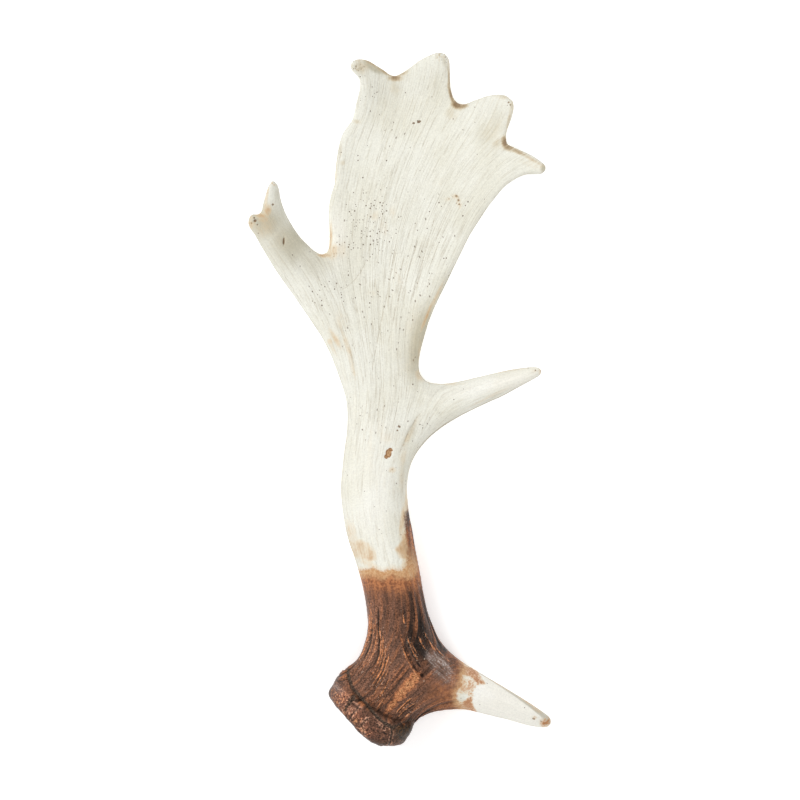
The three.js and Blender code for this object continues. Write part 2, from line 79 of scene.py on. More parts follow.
# height of the middle surface, mm, at control points (x, y, height)
ZC = [
    (340, 680, 39.1), (372, 708, 39.1), (400, 735, 39.1), (395, 690, 38.1), (398, 650, 35.6), (396, 610, 32.6),
    (392, 570, 31.1), (383, 530, 30.1), (377, 490, 29.6), (378, 450, 29.1), (384, 415, 27.6), (395, 440, 28.6),
    (440, 690, 32.1), (470, 695, 25.1), (500, 703, 17.6), (530, 714, 9.1), (552, 724, 3.4), (430, 410, 27.1),
    (460, 400, 29.1), (490, 388, 32.6), (520, 378, 37.6), (542, 371, 42.1), (375, 370, 22.1), (400, 350, 20.1),
    (372, 320, 17.6), (400, 300, 14.6), (345, 290, 18.4), (425, 300, 16.6), (350, 240, 12.0), (380, 240, 8.7),
    (410, 240, 9.7), (440, 240, 14.6), (462, 240, 19.6), (332, 210, 13.0), (345, 180, 10.8), (375, 180, 7.7),
    (405, 180, 8.3), (440, 180, 12.6), (475, 190, 21.1), (500, 186, 28.1), (342, 140, 17.2), (365, 130, 13.6),
    (395, 130, 11.1), (425, 125, 12.6), (455, 130, 17.6), (480, 150, 23.6), (497, 130, 29.1), (520, 160, 38.1),
    (543, 168, 50.1), (355, 66, 39.1), (363, 90, 27.1), (395, 90, 18.6), (420, 85, 19.6), (438, 75, 25.1),
    (441, 55, 32.6), (465, 108, 20.6), (490, 105, 29.1), (509, 101, 39.1), (330, 300, 24.4), (310, 280, 30.0),
    (290, 255, 39.1), (275, 235, 48.6), (262, 222, 58.6), (250, 221, 66.1), (272, 205, 58.6), (273, 183, 66.1),
    (318, 262, 24.6), (325, 330, 25.1), (290, 285, 35.1),
]

# saturation length of the inflation, mm: large gives a round section, small a plate
LC = [
    (340, 680, 30), (372, 708, 28), (400, 735, 26), (395, 690, 25), (398, 650, 34), (396, 610, 45),
    (392, 570, 45), (383, 530, 42), (377, 490, 36), (378, 450, 26), (384, 415, 18), (440, 690, 24),
    (470, 695, 36), (500, 703, 45), (530, 714, 45), (552, 724, 45), (430, 410, 18), (460, 400, 28),
    (490, 388, 40), (520, 378, 40), (542, 371, 40), (375, 370, 12.5), (400, 350, 11), (415, 365, 12),
    (345, 345, 12), (372, 320, 8.6), (400, 300, 7.4), (345, 290, 8.2), (430, 300, 7.5), (350, 240, 6.0),
    (380, 240, 6.2), (410, 240, 6.0), (450, 240, 5.8), (340, 180, 4.9), (375, 180, 5.3), (405, 180, 5.4),
    (440, 180, 5.2), (490, 190, 5.2), (345, 140, 4.6), (395, 130, 4.9), (425, 125, 4.9), (455, 130, 4.8),
    (497, 130, 5.0), (543, 168, 7), (527, 163, 6), (355, 66, 6.5), (363, 90, 4.8), (395, 90, 4.3),
    (441, 60, 5.2), (465, 108, 4.2), (509, 101, 5.2), (310, 280, 8.0), (285, 250, 8.0), (262, 222, 9),
    (250, 221, 10), (273, 183, 10), (320, 262, 6.6), (300, 300, 8.5), (330, 325, 10),
]

BURR_AT = (371.9, 708.2)          # middle of the ring, picture units
BURR_Z, BURR_T, BURR_R, BURR_CORNER = 38.2, 27.0, 39.6, 9.0
BURR_DROP = 20.0              # degrees its axis drops towards the butt
BURR_DIR = (-0.529, -0.849)


# ---- small numeric tools ----------------------------------------------------
def smooth(a, b, x):
    t = np.clip((x - a) / (b - a), 0.0, 1.0)
    return t * t * (3 - 2 * t)


def crom(P, m):
    """closed centripetal spline through the points"""
    P = np.asarray(P, float)
    q = [np.roll(P, 1, 0), P, np.roll(P, -1, 0), np.roll(P, -2, 0)]
    t = [np.zeros(len(P))]
    for k in range(3):
        t.append(t[-1] + np.linalg.norm(q[k + 1] - q[k], axis=1) ** 0.5)
    u = np.linspace(0, 1, m, endpoint=False)[None, :]
    x = (t[1][:, None] + (t[2] - t[1])[:, None] * u)[..., None]
    t = [a[:, None, None] for a in t]
    q = [a[:, None, :] for a in q]
    A = [(t[i + 1] - x) / (t[i + 1] - t[i]) * q[i] + (x - t[i]) / (t[i + 1] - t[i]) * q[i + 1] for i in range(3)]
    B = [(t[i + 2] - x) / (t[i + 2] - t[i]) * A[i] + (x - t[i]) / (t[i + 2] - t[i]) * A[i + 1] for i in range(2)]
    return ((t[2] - x) / (t[2] - t[1]) * B[0] + (x - t[1]) / (t[2] - t[1]) * B[1]).reshape(-1, 2)


def to_mm(p):
    p = np.asarray(p, float)
    q = p.copy()
    q[..., 0] = (p[..., 0] - 400) * S
    q[..., 1] = (400 - p[..., 1]) * S
    return q


def coverage(poly, xs, ys, sub=4):
    """area coverage of a polygon on the grid cells"""
    h = xs[1] - xs[0]
    cov = np.zeros((len(ys), len(xs)))
    a, b = poly, np.roll(poly, -1, 0)
    e = xs - h / 2
    for oy in (np.arange(sub) + 0.5) / sub - 0.5:
        for j, y in enumerate(ys):
            yy = y + oy * h
            c = (a[:, 1] <= yy) != (b[:, 1] <= yy)
            if not c.any():
                continue
            x = np.sort(a[c, 0] + (yy - a[c, 1]) / (b[c, 1] - a[c, 1]) * (b[c, 0] - a[c, 0]))
            for l, r in zip(x[::2], x[1::2]):
                cov[j] += np.clip((np.minimum(r, e + h) - np.maximum(l, e)) / h, 0, 1)
    return cov / sub


def spread(C, xs, ys, log=False, smooth_k=1e-3):
    """thin-plate surface through control points"""
    C = np.asarray(C, float)
    P = to_mm(C[:, :2]) / 100.0
    v = np.log(C[:, 2]) if log else C[:, 2]
    n = len(P)
    d2 = ((P[:, None] - P[None]) ** 2).sum(2)
    A = np.zeros((n + 3, n + 3))
    A[:n, :n] = d2 * np.log(d2 + 1e-12) * 0.5 + np.eye(n) * smooth_k
    A[:n, n] = A[n, :n] = 1
    A[:n, n + 1:] = P
    A[n + 1:, :n] = P.T
    w = np.linalg.solve(A, np.concatenate([v, [0, 0, 0]]))
    gx, gy = np.meshgrid(xs / 100, ys / 100)
    out = w[n] + w[n + 1] * gx + w[n + 2] * gy
    for i in range(n):
        d = (gx - P[i, 0]) ** 2 + (gy - P[i, 1]) ** 2
        out += w[i] * d * np.log(d + 1e-12) * 0.5
    return np.exp(out) if log else out


def up2(a, shape):
    ny, nx = a.shape
    Y, X = np.linspace(0, ny - 1, shape[0]), np.linspace(0, nx - 1, shape[1])
    y0, x0 = np.minimum(Y.astype(int), ny - 2), np.minimum(X.astype(int), nx - 2)
    fy, fx = (Y - y0)[:, None], (X - x0)[None]
    return (a[y0][:, x0] * (1 - fy) * (1 - fx) + a[y0][:, x0 + 1] * (1 - fy) * fx
            + a[y0 + 1][:, x0] * fy * (1 - fx) + a[y0 + 1][:, x0 + 1] * fy * fx)


def relax(u, k, rhs, h, iters, w):
    """red-black over-relaxation of lap(u) - k u = -rhs"""
    ii, jj = np.meshgrid(np.arange(u.shape[0]), np.arange(u.shape[1]), indexing="ij")
    inner = np.zeros(u.shape, bool)
    inner[1:-1, 1:-1] = True
    inner &= k < 9e3
    den, R = 4 + k * h * h, rhs * h * h
    parts = []
    for c in (0, 1):
        I, J = np.nonzero(inner & ((ii + jj) % 2 == c))
        parts.append((I, J, den[I, J], R[I, J]))
    for _ in range(iters):
        for I, J, d, r in parts:
            nb = u[I - 1, J] + u[I + 1, J] + u[I, J - 1] + u[I, J + 1]
            u[I, J] += w * ((nb + r) / d - u[I, J])
    return u


def solve(k, rhs, start=None):
    """coarse to fine"""
    u = start
    for L, it, w in ((4, 240, 1.9), (2, 150, 1.85), (1, 110, 1.7)):
        kk, rr = k[::L, ::L], rhs[::L, ::L]
        u = np.zeros_like(kk) if u is None else up2(u, kk.shape) * (kk < 9e3)
        relax(u, kk, rr, H * L, it, w)
    return u


def sample(a, x, y):
    X = np.clip((x - X0) / H, 0, a.shape[1] - 1.001)
    Y = np.clip((y - Y0) / H, 0, a.shape[0] - 1.001)
    x0, y0 = X.astype(int), Y.astype(int)
    fx, fy = X - x0, Y - y0
    return (a[y0, x0] * (1 - fy) * (1 - fx) + a[y0, x0 + 1] * (1 - fy) * fx
            + a[y0 + 1, x0] * fy * (1 - fx) + a[y0 + 1, x0 + 1] * fy * fx)


def hashed(ix, iy, iz, seed):
    h = (ix.astype(np.uint32) * np.uint32(374761393) + iy.astype(np.uint32) * np.uint32(668265263)
         + iz.astype(np.uint32) * np.uint32(2246822519) + np.uint32(seed) * np.uint32(3266489917))
    h ^= h >> np.uint32(15)
    h *= np.uint32(2246822519)
    h ^= h >> np.uint32(13)
    h *= np.uint32(3266489917)
    h ^= h >> np.uint32(16)
    return h.astype(np.float64) / 4294967295.0


def noise(x, y, z, seed=1):
    """smooth value noise, -1 to 1"""
    x, y, z = np.broadcast_arrays(np.asarray(x, float), np.asarray(y, float), np.asarray(z, float))
    i, j, k = np.floor(x).astype(np.int64), np.floor(y).astype(np.int64), np.floor(z).astype(np.int64)
    fx, fy, fz = x - i, y - j, z - k
    sx, sy, sz = (f * f * f * (f * (f * 6 - 15) + 10) for f in (fx, fy, fz))
    out = 0
    for a in (0, 1):
        for b in (0, 1):
            for c in (0, 1):
                w = (sx if a else 1 - sx) * (sy if b else 1 - sy) * (sz if c else 1 - sz)
                out = out + w * hashed(i + a, j + b, k + c, seed)
    return out * 2 - 1


def fbm(x, y, z, octaves=3, seed=1, gain=0.5):
    v, a, t, f = 0, 1.0, 0.0, 1.0
    for o in range(octaves):
        v = v + a * noise(np.asarray(x) * f, np.asarray(y) * f, np.asarray(z) * f, seed + 17 * o)
        t += a
        a *= gain
        f *= 2.03
    return v / t


# ---- fields over the plan ---------------------------------------------------
np.seterr(over="ignore")
xs, ys = np.arange(X0, X1 + H / 2, H), np.arange(Y0, Y1 + H / 2, H)
GX, GY = np.meshgrid(xs, ys)
poly = to_mm(crom(OUT, 10))
cov = coverage(poly, xs, ys)
LAM = spread(LC, xs, ys, log=True)
ZM = spread(ZC, xs, ys)
pen = np.where(cov > 0.999, 0, (1 - cov) / np.maximum(cov, 1e-3)) * 8 / H ** 2
K_IN = np.minimum(1 / LAM ** 2 + pen, 1e4)
K_IN[cov <= 0] = 1e4
U_IN = solve(K_IN, np.ones_like(cov))
lam_out = np.clip(LAM, 5, 14)
pen = np.where(cov < 0.001, 0, cov / np.maximum(1 - cov, 1e-3)) * 8 / H ** 2
K_OUT = np.minimum(1 / lam_out ** 2 + pen, 1e4)
K_OUT[cov >= 1] = 1e4
U_OUT = np.zeros_like(cov)
relax(U_OUT, K_OUT, np.ones_like(cov), H, 60, 1.5)
U = U_IN - U_OUT

# fibres: level lines of a stream function that leaves the butt and runs out at every point
TIPS = [((250, 222), 4.0), ((273.5, 181), 5.5), ((541, 370.5), 11.0), ((550, 722), 28.0)]
FAN_AT = (386, 425)             # the palm's fibres fan out from here
FAN_RIM = ((351.4, 69.5), (541.5, 173.8))
FAN = 27.0


def stream():
    px = crom(OUT, 10)
    n = len(px)
    near = lambda p: int(np.argmin(((px - np.array(p, float)) ** 2).sum(1)))
    # walk clockwise from the left edge of the beam at the butt
    start = near((350.6, 665.5))
    order = (np.arange(n) + start) % n
    pos = {int(k): i for i, k in enumerate(order)}
    arc = np.r_[0, np.cumsum(np.linalg.norm(np.diff(px[order], axis=0), axis=1))]
    val = np.zeros(n)
    level = 0.0
    stops = []
    for (p, w) in TIPS[:2]:
        stops.append((arc[pos[near(p)]], w, 5.0))
    for (p, w) in TIPS[2:]:
        stops.append((arc[pos[near(p)]], w, 7.0))
    for a, w, half in stops:
        val += w * smooth(a - half, a + half, arc)
    a0, a1 = pos[near(FAN_RIM[0])], pos[near(FAN_RIM[1])]
    ang = np.arctan2(px[order][:, 0] - FAN_AT[0], FAN_AT[1] - px[order][:, 1])
    g = np.zeros(n)
    seg = ang[a0:a1 + 1]
    g[a0:a1 + 1] = np.maximum.accumulate((seg - seg[0]) / (seg[-1] - seg[0]))
    g[a1 + 1:] = 1
    val += FAN * np.clip(g, 0, 1)
    total = val[-1] if val[-1] > 0 else 1.0
    b0 = pos[near((422, 716))]
    top = val[b0]
    val[b0:] = top * (1 - (arc[b0:] - arc[b0]) / (arc[-1] - arc[b0]))
    full = np.zeros(n)
    full[order] = val
    return full, top


PSI_EDGE, PSI_TOP = stream()
L2 = 2
cx, cy = GX[::L2, ::L2], GY[::L2, ::L2]
c2 = cov[::L2, ::L2]
inside = c2 > 0.5
rim = np.zeros_like(inside)
rim[1:-1, 1:-1] = ~inside[1:-1, 1:-1] & (inside[:-2, 1:-1] | inside[2:, 1:-1] | inside[1:-1, :-2] | inside[1:-1, 2:]
                                         | inside[:-2, :-2] | inside[2:, 2:] | inside[2:, :-2] | inside[:-2, 2:])
PS = np.full(cx.shape, PSI_TOP * 0.4)
I, J = np.nonzero(rim)
q = np.stack([cx[I, J], cy[I, J]], 1)
near = np.concatenate([((q[a:a + 400, None] - poly[None]) ** 2).sum(2).argmin(1) for a in range(0, len(q), 400)])
PS[I, J] = PSI_EDGE[near]
kk = np.where(inside, 0.0, 1e4)
relax(PS, kk, np.zeros_like(PS), H * L2, 900, 1.93)
# carry the values a little way outside, so that sampling near the edge is sound
known = inside | rim
for _ in range(4):
    acc, cnt = np.zeros_like(PS), np.zeros_like(PS)
    for dy, dx in ((0, 1), (0, -1), (1, 0), (-1, 0)):
        k_ = np.roll(known, (dy, dx), (0, 1))
        acc += np.roll(PS, (dy, dx), (0, 1)) * k_
        cnt += k_
    new = ~known & (cnt > 0)
    PS[new] = acc[new] / cnt[new]
    known |= new
PSI = up2(PS, cov.shape)
gy_, gx_ = np.gradient(PSI, H)
PGRAD = np.sqrt(gx_ ** 2 + gy_ ** 2)

# ---- the burr ---------------------------------------------------------------
e = math.radians(BURR_DROP)
b_ax = np.array([BURR_DIR[0] * math.cos(e), BURR_DIR[1] * math.cos(e), -math.sin(e)])
b_ax /= np.linalg.norm(b_ax)
b_c = to_mm(np.array(BURR_AT)) * (CAM - BURR_Z) / CAM
b_c = np.array([b_c[0], b_c[1], BURR_Z])
b_u = np.cross(b_ax, [0, 0, 1.0])
b_u /= np.linalg.norm(b_u)
b_v = np.cross(b_u, b_ax)


def burr_coords(X, Y, Z):
    dx, dy, dz = X - b_c[0], Y - b_c[1], Z - b_c[2]
    t = dx * b_ax[0] + dy * b_ax[1] + dz * b_ax[2]
    p = dx * b_u[0] + dy * b_u[1] + dz * b_u[2]
    q = dx * b_v[0] + dy * b_v[1] + dz * b_v[2]
    return t, np.sqrt(p * p + q * q), np.arctan2(q, p)


def burr_distance(X, Y, Z):
    """rounded disc, uneven round its rim, with a convex seal face"""
    t, r, a = burr_coords(X, Y, Z)
    R = BURR_R * (1 + 0.012 * np.sin(3 * a + 0.9) + 0.010 * np.sin(5 * a + 2.2) + 0.006 * np.sin(9 * a + 0.3))
    dome = 5.0 * np.clip(1 - (r / (R * 0.9)) ** 2, 0, 1) * (t > 0)
    half = BURR_T / 2
    qx = r - (R - BURR_CORNER)
    qy = np.where(t > 0, t - dome, -t) - (half - BURR_CORNER)
    return (np.sqrt(np.maximum(qx, 0) ** 2 + np.maximum(qy, 0) ** 2) + np.minimum(np.maximum(qx, qy), 0) - BURR_CORNER)


# the burr's outer lobe is cut off straight: two points of each edge, picture units
BURR_CUTS = [((417.0, 718.4), (404.0, 746.6)), ((402.0, 747.4), (378.0, 748.8)), ((369.6, 745.4), (330.6, 699.4)), ((333.0, 683.5), (350.5, 666.5))]


def burr_cuts(X, Y):
    out = None
    for p, q in BURR_CUTS:
        a, b = to_mm(np.array(p)), to_mm(np.array(q))
        d = (b - a) / np.linalg.norm(b - a)
        v = (X - a[0]) * -d[1] + (Y - a[1]) * d[0]
        out = v if out is None else np.maximum(out, v)
    return out


def joint(X, Y):
    """how widely the burr and the beam run together: most at the beam's left shoulder"""
    c_ = to_mm(np.array((346.0, 672.0)))
    return 7.0 + 5.0 * np.exp(-((X - c_[0]) ** 2 + (Y - c_[1]) ** 2) / 12.0 ** 2)


def smin(a, b, k):
    h = np.clip(0.5 + 0.5 * (b - a) / k, 0, 1)
    return b * (1 - h) + a * h - k * h * (1 - h)


# ---- the solid, sampled and meshed -------------------------------------------
ZB = -3.0
zs = np.arange(ZB, 84.0, H)
gu_y, gu_x = np.gradient(U, H)
gz_y, gz_x = np.gradient(ZM, H)


def body_distance(u, zm, ux, uy, zx, zy, z):
    d = z - zm
    f = d * d - 2 * u
    gx, gy = -2 * d * zx - 2 * ux, -2 * d * zy - 2 * uy
    g = np.sqrt(gx * gx + gy * gy + 4 * d * d)
    return f / np.maximum(g, 4.0)


def field_block(j0, j1):
    z = zs[None, None, :]
    sl = slice(j0, j1)
    ex = lambda a: a[sl, :, None]
    F = body_distance(ex(U), ex(ZM), ex(gu_x), ex(gu_y), ex(gz_x), ex(gz_y), z)
    F = np.minimum(F, 12.0)
    if ys[j0] < -200:
        k = (CAM - z) / CAM
        D = burr_distance(ex(GX) * k, ex(GY) * k, z)
        D = -smin(-D, -burr_cuts(ex(GX), ex(GY)) + 0 * z, 4.0)
        F = smin(F, D, joint(ex(GX), ex(GY)))
    return np.maximum(F, -z).astype(np.float32)


vol = np.concatenate([field_block(j, min(j + 64, len(ys))) for j in range(0, len(ys), 64)], 0)   # y, x, z
vol = np.ascontiguousarray(vol.transpose(1, 0, 2))                                              # x, y, z


def nets(f, org, h):
    """surface nets: one vertex in every cell the surface passes through"""
    s = f < 0
    nx, ny, nz = f.shape
    c = np.zeros((nx - 1, ny - 1, nz - 1), np.int8)
    for dx in (0, 1):
        for dy in (0, 1):
            for dz in (0, 1):
                c += s[dx:nx - 1 + dx, dy:ny - 1 + dy, dz:nz - 1 + dz]
    act = np.nonzero((c > 0) & (c < 8))
    I, J, K = act
    n = len(I)
    idx = np.full(c.shape, -1, np.int32)
    idx[act] = np.arange(n, dtype=np.int32)
    cor = {(a, b, d): f[I + a, J + b, K + d].astype(np.float64) for a in (0, 1) for b in (0, 1) for d in (0, 1)}
    acc, cnt = np.zeros((n, 3)), np.zeros(n)
    for ax in range(3):
        o = [i for i in range(3) if i != ax]
        for p in (0, 1):
            for q in (0, 1):
                A = [0, 0, 0]
                A[o[0]], A[o[1]] = p, q
                B = list(A)
                B[ax] = 1
                fa, fb = cor[tuple(A)], cor[tuple(B)]
                m = (fa < 0) != (fb < 0)
                t = np.where(m, fa / np.where(m, fa - fb, 1), 0)
                pos = np.zeros((n, 3))
                pos[:, o[0]], pos[:, o[1]], pos[:, ax] = p, q, t
                acc[m] += pos[m]
                cnt[m] += 1
    v = acc / cnt[:, None] + np.stack([I, J, K], 1)
    quads = []
    for ax in range(3):
        s0, s1 = [slice(None)] * 3, [slice(None)] * 3
        s0[ax], s1[ax] = slice(0, -1), slice(1, None)
        a, b = s[tuple(s0)], s[tuple(s1)]
        o = [i for i in range(3) if i != ax]
        E = [x.copy() for x in np.nonzero(a != b)]
        ok = (E[o[0]] > 0) & (E[o[0]] < f.shape[o[0]] - 1) & (E[o[1]] > 0) & (E[o[1]] < f.shape[o[1]] - 1)
        E = [x[ok] for x in E]
        sg = a[tuple(E)]

        def cell(d0, d1):
            C = [x.copy() for x in E]
            C[o[0]] = C[o[0]] - d0
            C[o[1]] = C[o[1]] - d1
            return idx[tuple(C)]
        q = np.stack([cell(1, 1), cell(0, 1), cell(0, 0), cell(1, 0)], 1)
        flip = sg if ax != 1 else ~sg
        q[~flip] = q[~flip][:, ::-1]
        quads.append(q)
    return v * h + np.asarray(org), np.concatenate(quads)


V, Q = nets(vol, (X0, Y0, ZB), H)
del vol


def exact_distance(P):
    u, zm = sample(U, P[:, 0], P[:, 1]), sample(ZM, P[:, 0], P[:, 1])
    F = body_distance(u, zm, sample(gu_x, P[:, 0], P[:, 1]), sample(gu_y, P[:, 0], P[:, 1]),
                      sample(gz_x, P[:, 0], P[:, 1]), sample(gz_y, P[:, 0], P[:, 1]), P[:, 2])
    F = np.minimum(F, 12.0)
    near = P[:, 1] < -195
    if near.any():
        N_ = P[near]
        k = (CAM - N_[:, 2]) / CAM
        D = burr_distance(N_[:, 0] * k, N_[:, 1] * k, N_[:, 2])
        D = -smin(-D, -burr_cuts(N_[:, 0], N_[:, 1]), 4.0)
        F[near] = smin(F[near], D, joint(N_[:, 0], N_[:, 1]))
    return np.maximum(F, -P[:, 2])


def tri(Q):
    return np.concatenate([Q[:, [0, 1, 2]], Q[:, [0, 2, 3]]])


def normals(V, T):
    n = np.cross(V[T[:, 1]] - V[T[:, 0]], V[T[:, 2]] - V[T[:, 0]])
    out = np.zeros_like(V)
    for k in range(3):
        for c in range(3):
            out[:, c] += np.bincount(T[:, k], n[:, c], len(V))
    return out / np.maximum(np.linalg.norm(out, axis=1, keepdims=True), 1e-12)


T = tri(Q)
N = normals(V, T)
if (N[np.argmax(V[:, 2])][2]) < 0:
    T = T[:, ::-1]
    N = -N
# settle the vertices on the surface, then even them out and settle them again
E = np.unique(np.sort(np.concatenate([Q[:, [0, 1]], Q[:, [1, 2]], Q[:, [2, 3]], Q[:, [3, 0]]]), 1), axis=0)
deg = np.bincount(E.ravel(), minlength=len(V)).astype(float)


def around(A):
    out = np.zeros_like(A)
    for c in range(A.shape[1]):
        out[:, c] = np.bincount(E[:, 0], A[E[:, 1], c], len(A)) + np.bincount(E[:, 1], A[E[:, 0], c], len(A))
    return out / deg[:, None]


flat = V[:, 2] < 0.02
for step in range(3):
    M = around(V)
    d = M - V
    d -= N * (d * N).sum(1, keepdims=True)
    d[flat, 2] = 0
    V = V + 0.5 * d
    f = exact_distance(V)
    V = V - N * np.clip(f, -0.5, 0.5)[:, None] * 0.8
    N = normals(V, T)
V[:, 2] = np.maximum(V[:, 2], 0)

# ---- attributes of every vertex ---------------------------------------------
PX = V[:, 0] / S + 400          # picture units
PY = 400 - V[:, 1] / S
psi = sample(PSI, V[:, 0], V[:, 1])
pg = sample(PGRAD, V[:, 0], V[:, 1])
zrel = V[:, 2] - sample(ZM, V[:, 0], V[:, 1])
# on the flanks the fibres are spread over the height as well
ux, uy = sample(gx_, V[:, 0], V[:, 1]), sample(gy_, V[:, 0], V[:, 1])
across = (N[:, 0] * ux + N[:, 1] * uy) / np.maximum(np.hypot(ux, uy), 1e-6)
psi = psi - 0.4 * np.clip(pg, 0, 1.3) * np.clip(zrel, -30, 30) * across
kz = (CAM - V[:, 2]) / CAM
bt, br, ba = burr_coords(V[:, 0] * kz, V[:, 1] * kz, V[:, 2])
bd = burr_distance(V[:, 0] * kz, V[:, 1] * kz, V[:, 2])
on_burr = smooth(1.6, 0.2, bd) * smooth(-BURR_T / 2 + 0.5, -BURR_T / 2 + 4.0, bt)
upper = smooth(-0.25, 0.15, N[:, 2])
side = 1 - np.abs(N[:, 2])


def polydist(pts, px=None, py=None):
    """distance to a polyline in picture units, and how far along it"""
    px = PX if px is None else px
    py = PY if py is None else py
    P = np.asarray(pts, float)
    best = np.full(px.shape, 1e9)
    pos = np.zeros(px.shape)
    L = np.linalg.norm(np.diff(P, axis=0), axis=1)
    tot = L.sum()
    acc = 0
    for a, b, l in zip(P[:-1], P[1:], L):
        d = b - a
        t = np.clip(((px - a[0]) * d[0] + (py - a[1]) * d[1]) / (l * l), 0, 1)
        r = np.hypot(px - a[0] - t * d[0], py - a[1] - t * d[1])
        m = r < best
        best[m] = r[m]
        pos[m] = (acc + t[m] * l) / tot
        acc += l
    return best, pos


def spot(x, y, rx, ry, ang=0.0, hard=1.0):
    """1 in the middle of an ellipse, falling to 0 past its edge"""
    c, s_ = math.cos(math.radians(ang)), math.sin(math.radians(ang))
    dx, dy = PX - x, PY - y
    u_, v_ = (dx * c + dy * s_) / rx, (-dx * s_ + dy * c) / ry
    r = np.sqrt(u_ * u_ + v_ * v_)
    return smooth(1.0 + 0.5 / hard, 1.0 - 0.5 / hard, r)


# ---- carving: relief is in mm along the normal --------------------------------
relief = np.zeros(len(V))
pit_dirt_and_shade = np.zeros(len(V))      # dirt and painted shade in pits, splits and grooves
stain_and_shade = np.zeros(len(V))         # brown stain on the ivory, and painted shade on rim walls and in crotches
pores = np.zeros(len(V))       # how densely the bone is pricked with pores
rough = np.zeros(len(V))       # worn, spongy ends
zs_ = np.where(N[:, 2] > 0, 0.0, 41.7)        # another pattern underneath
gauss = lambda x, y, rx, ry, a=0.0: np.exp(-((((PX - x) * math.cos(a) + (PY - y) * math.sin(a)) / rx) ** 2
                                             + ((-(PX - x) * math.sin(a) + (PY - y) * math.cos(a)) / ry) ** 2))

# the brown foot: furrows that run with the fibres
foot = np.maximum(smooth(572, 625, PY), 0.7 * smooth(500, 540, PY) * smooth(402, 408, PX)) * smooth(470, 450, PX)
foot_b = foot * (1 - on_burr)
quiet = np.zeros(len(V))
for x, y, rx, ry, a_, k_ in ((393, 636, 11, 48, 0.06, 0.92), (389, 590, 34, 26, 0, 0.75), (446, 690, 22, 12, 0.4, 0.7), (404, 690, 9, 19, 0.75, 0.9)):
    quiet = np.maximum(quiet, k_ * gauss(x, y, rx, ry, a_) * upper)
phase = psi / 5.4 + 0.55 * noise(psi * 0.12, PY * 0.010 + zs_, PX * 0.010, 7) + 0.25 * noise(psi * 0.4, PY * 0.03 + zs_, PX * 0.03, 8)
strength = smooth(-0.5, 0.25, noise(psi * 0.22, PY * 0.020 + zs_, PX * 0.020, 9)) * (1 - quiet)
furrow = foot_b * strength

# raised fibres and dark furrows that stand out, picture units
RIDGES = [
    [(369.4, 600), (370.2, 623), (368.3, 639), (363.3, 653), (356.5, 665), (351.5, 672)],
    [(372.8, 605), (373.9, 627), (373.6, 638), (369.4, 652), (361.7, 665.6), (354, 675.6)],
    [(376.7, 612), (377.2, 634), (375, 650), (367.5, 665.6), (357.2, 678.4)],
    [(380, 604), (379.4, 627), (380.8, 642), (380.4, 653), (376.5, 668), (368.3, 679), (360.6, 686)],
    [(385, 632), (385.2, 656), (380.8, 672), (372.8, 684.4), (363.9, 693.6)],
    [(392, 656), (387.4, 672), (380.6, 684.6), (372.4, 696), (367.2, 701.5)],
    [(393, 667), (387.6, 683), (379.6, 696.7), (371.7, 706)],
    [(388, 693), (380.6, 703), (374.5, 713)],
    [(398, 632), (401.5, 645), (406.5, 658.5), (412.5, 668.6), (418.5, 677.5), (424.5, 683.5)],
    [(424, 698.5), (412, 705), (403, 712), (394, 722.5)],
    [(418, 693.5), (408, 701), (399, 709.5), (391, 719)],
    [(430, 703), (417, 708.5), (407, 716), (400, 722)],
    [(409, 636), (413, 647), (419, 657)],
    [(405, 626), (408, 640), (413, 652), (419, 662), (425, 667)],
    [(417, 633), (422, 645), (429, 655)],
    [(402, 604), (403, 617), (405, 628)],
    [(430, 640), (437, 649), (446, 659), (456, 666)],
    [(366.6, 604), (366.6, 622), (365.0, 637), (360.0, 651), (353.5, 663)],
    [(382.4, 616), (383.0, 640), (382.2, 655), (378.4, 669), (371.0, 681), (362.4, 690)],
    [(389.6, 640), (388.6, 657), (384.2, 671), (377, 683.5), (368.6, 694.5)],
    [(413, 700), (404, 707.5), (396.5, 716)],
    [(421, 626), (426, 637), (433, 648), (441, 657)],
]
FURROWS = [
    [(397.5, 630), (402.5, 642), (408.5, 655), (414.8, 666.5), (419.5, 674.5), (424.5, 679.5)],
    [(402.5, 626), (406, 640), (411, 651), (416, 660), (419.5, 666)],
    [(412, 628), (416, 643), (423, 655), (431, 663)],
    [(371.8, 612), (372.2, 630), (370.8, 644), (365.5, 657), (358.5, 668)],
    [(378.5, 596), (378.4, 622), (379, 640), (378.2, 655), (372.5, 669), (364, 681)],
    [(383, 630), (382.8, 655), (378.8, 669), (370.5, 682), (362, 690)],
    [(388.5, 652), (385, 667), (378, 681), (369.5, 692.5)],
    [(389.8, 676), (384, 690), (376, 702.5), (370.6, 708.5)],
    [(384.5, 700), (379, 710), (377.4, 714)],
    [(421, 702), (408, 709), (398.5, 717), (391, 725)],
    [(414, 697), (404.5, 706), (396, 714.5)],
    [(412, 668), (414.5, 674), (417, 680)],
]


def nearest(curves):
    d = np.full(len(V), 30.0)
    for pts in curves:
        r, pos = polydist(pts)
        r = r + 1.5 * smooth(0.35, 0.0, pos) + 1.5 * smooth(0.72, 1.0, pos) + 0.35 * noise(PX * 0.16, PY * 0.16, 3.0, 77)
        d = np.minimum(d, r)
    return np.where(upper > 0.3, d, 30.0)


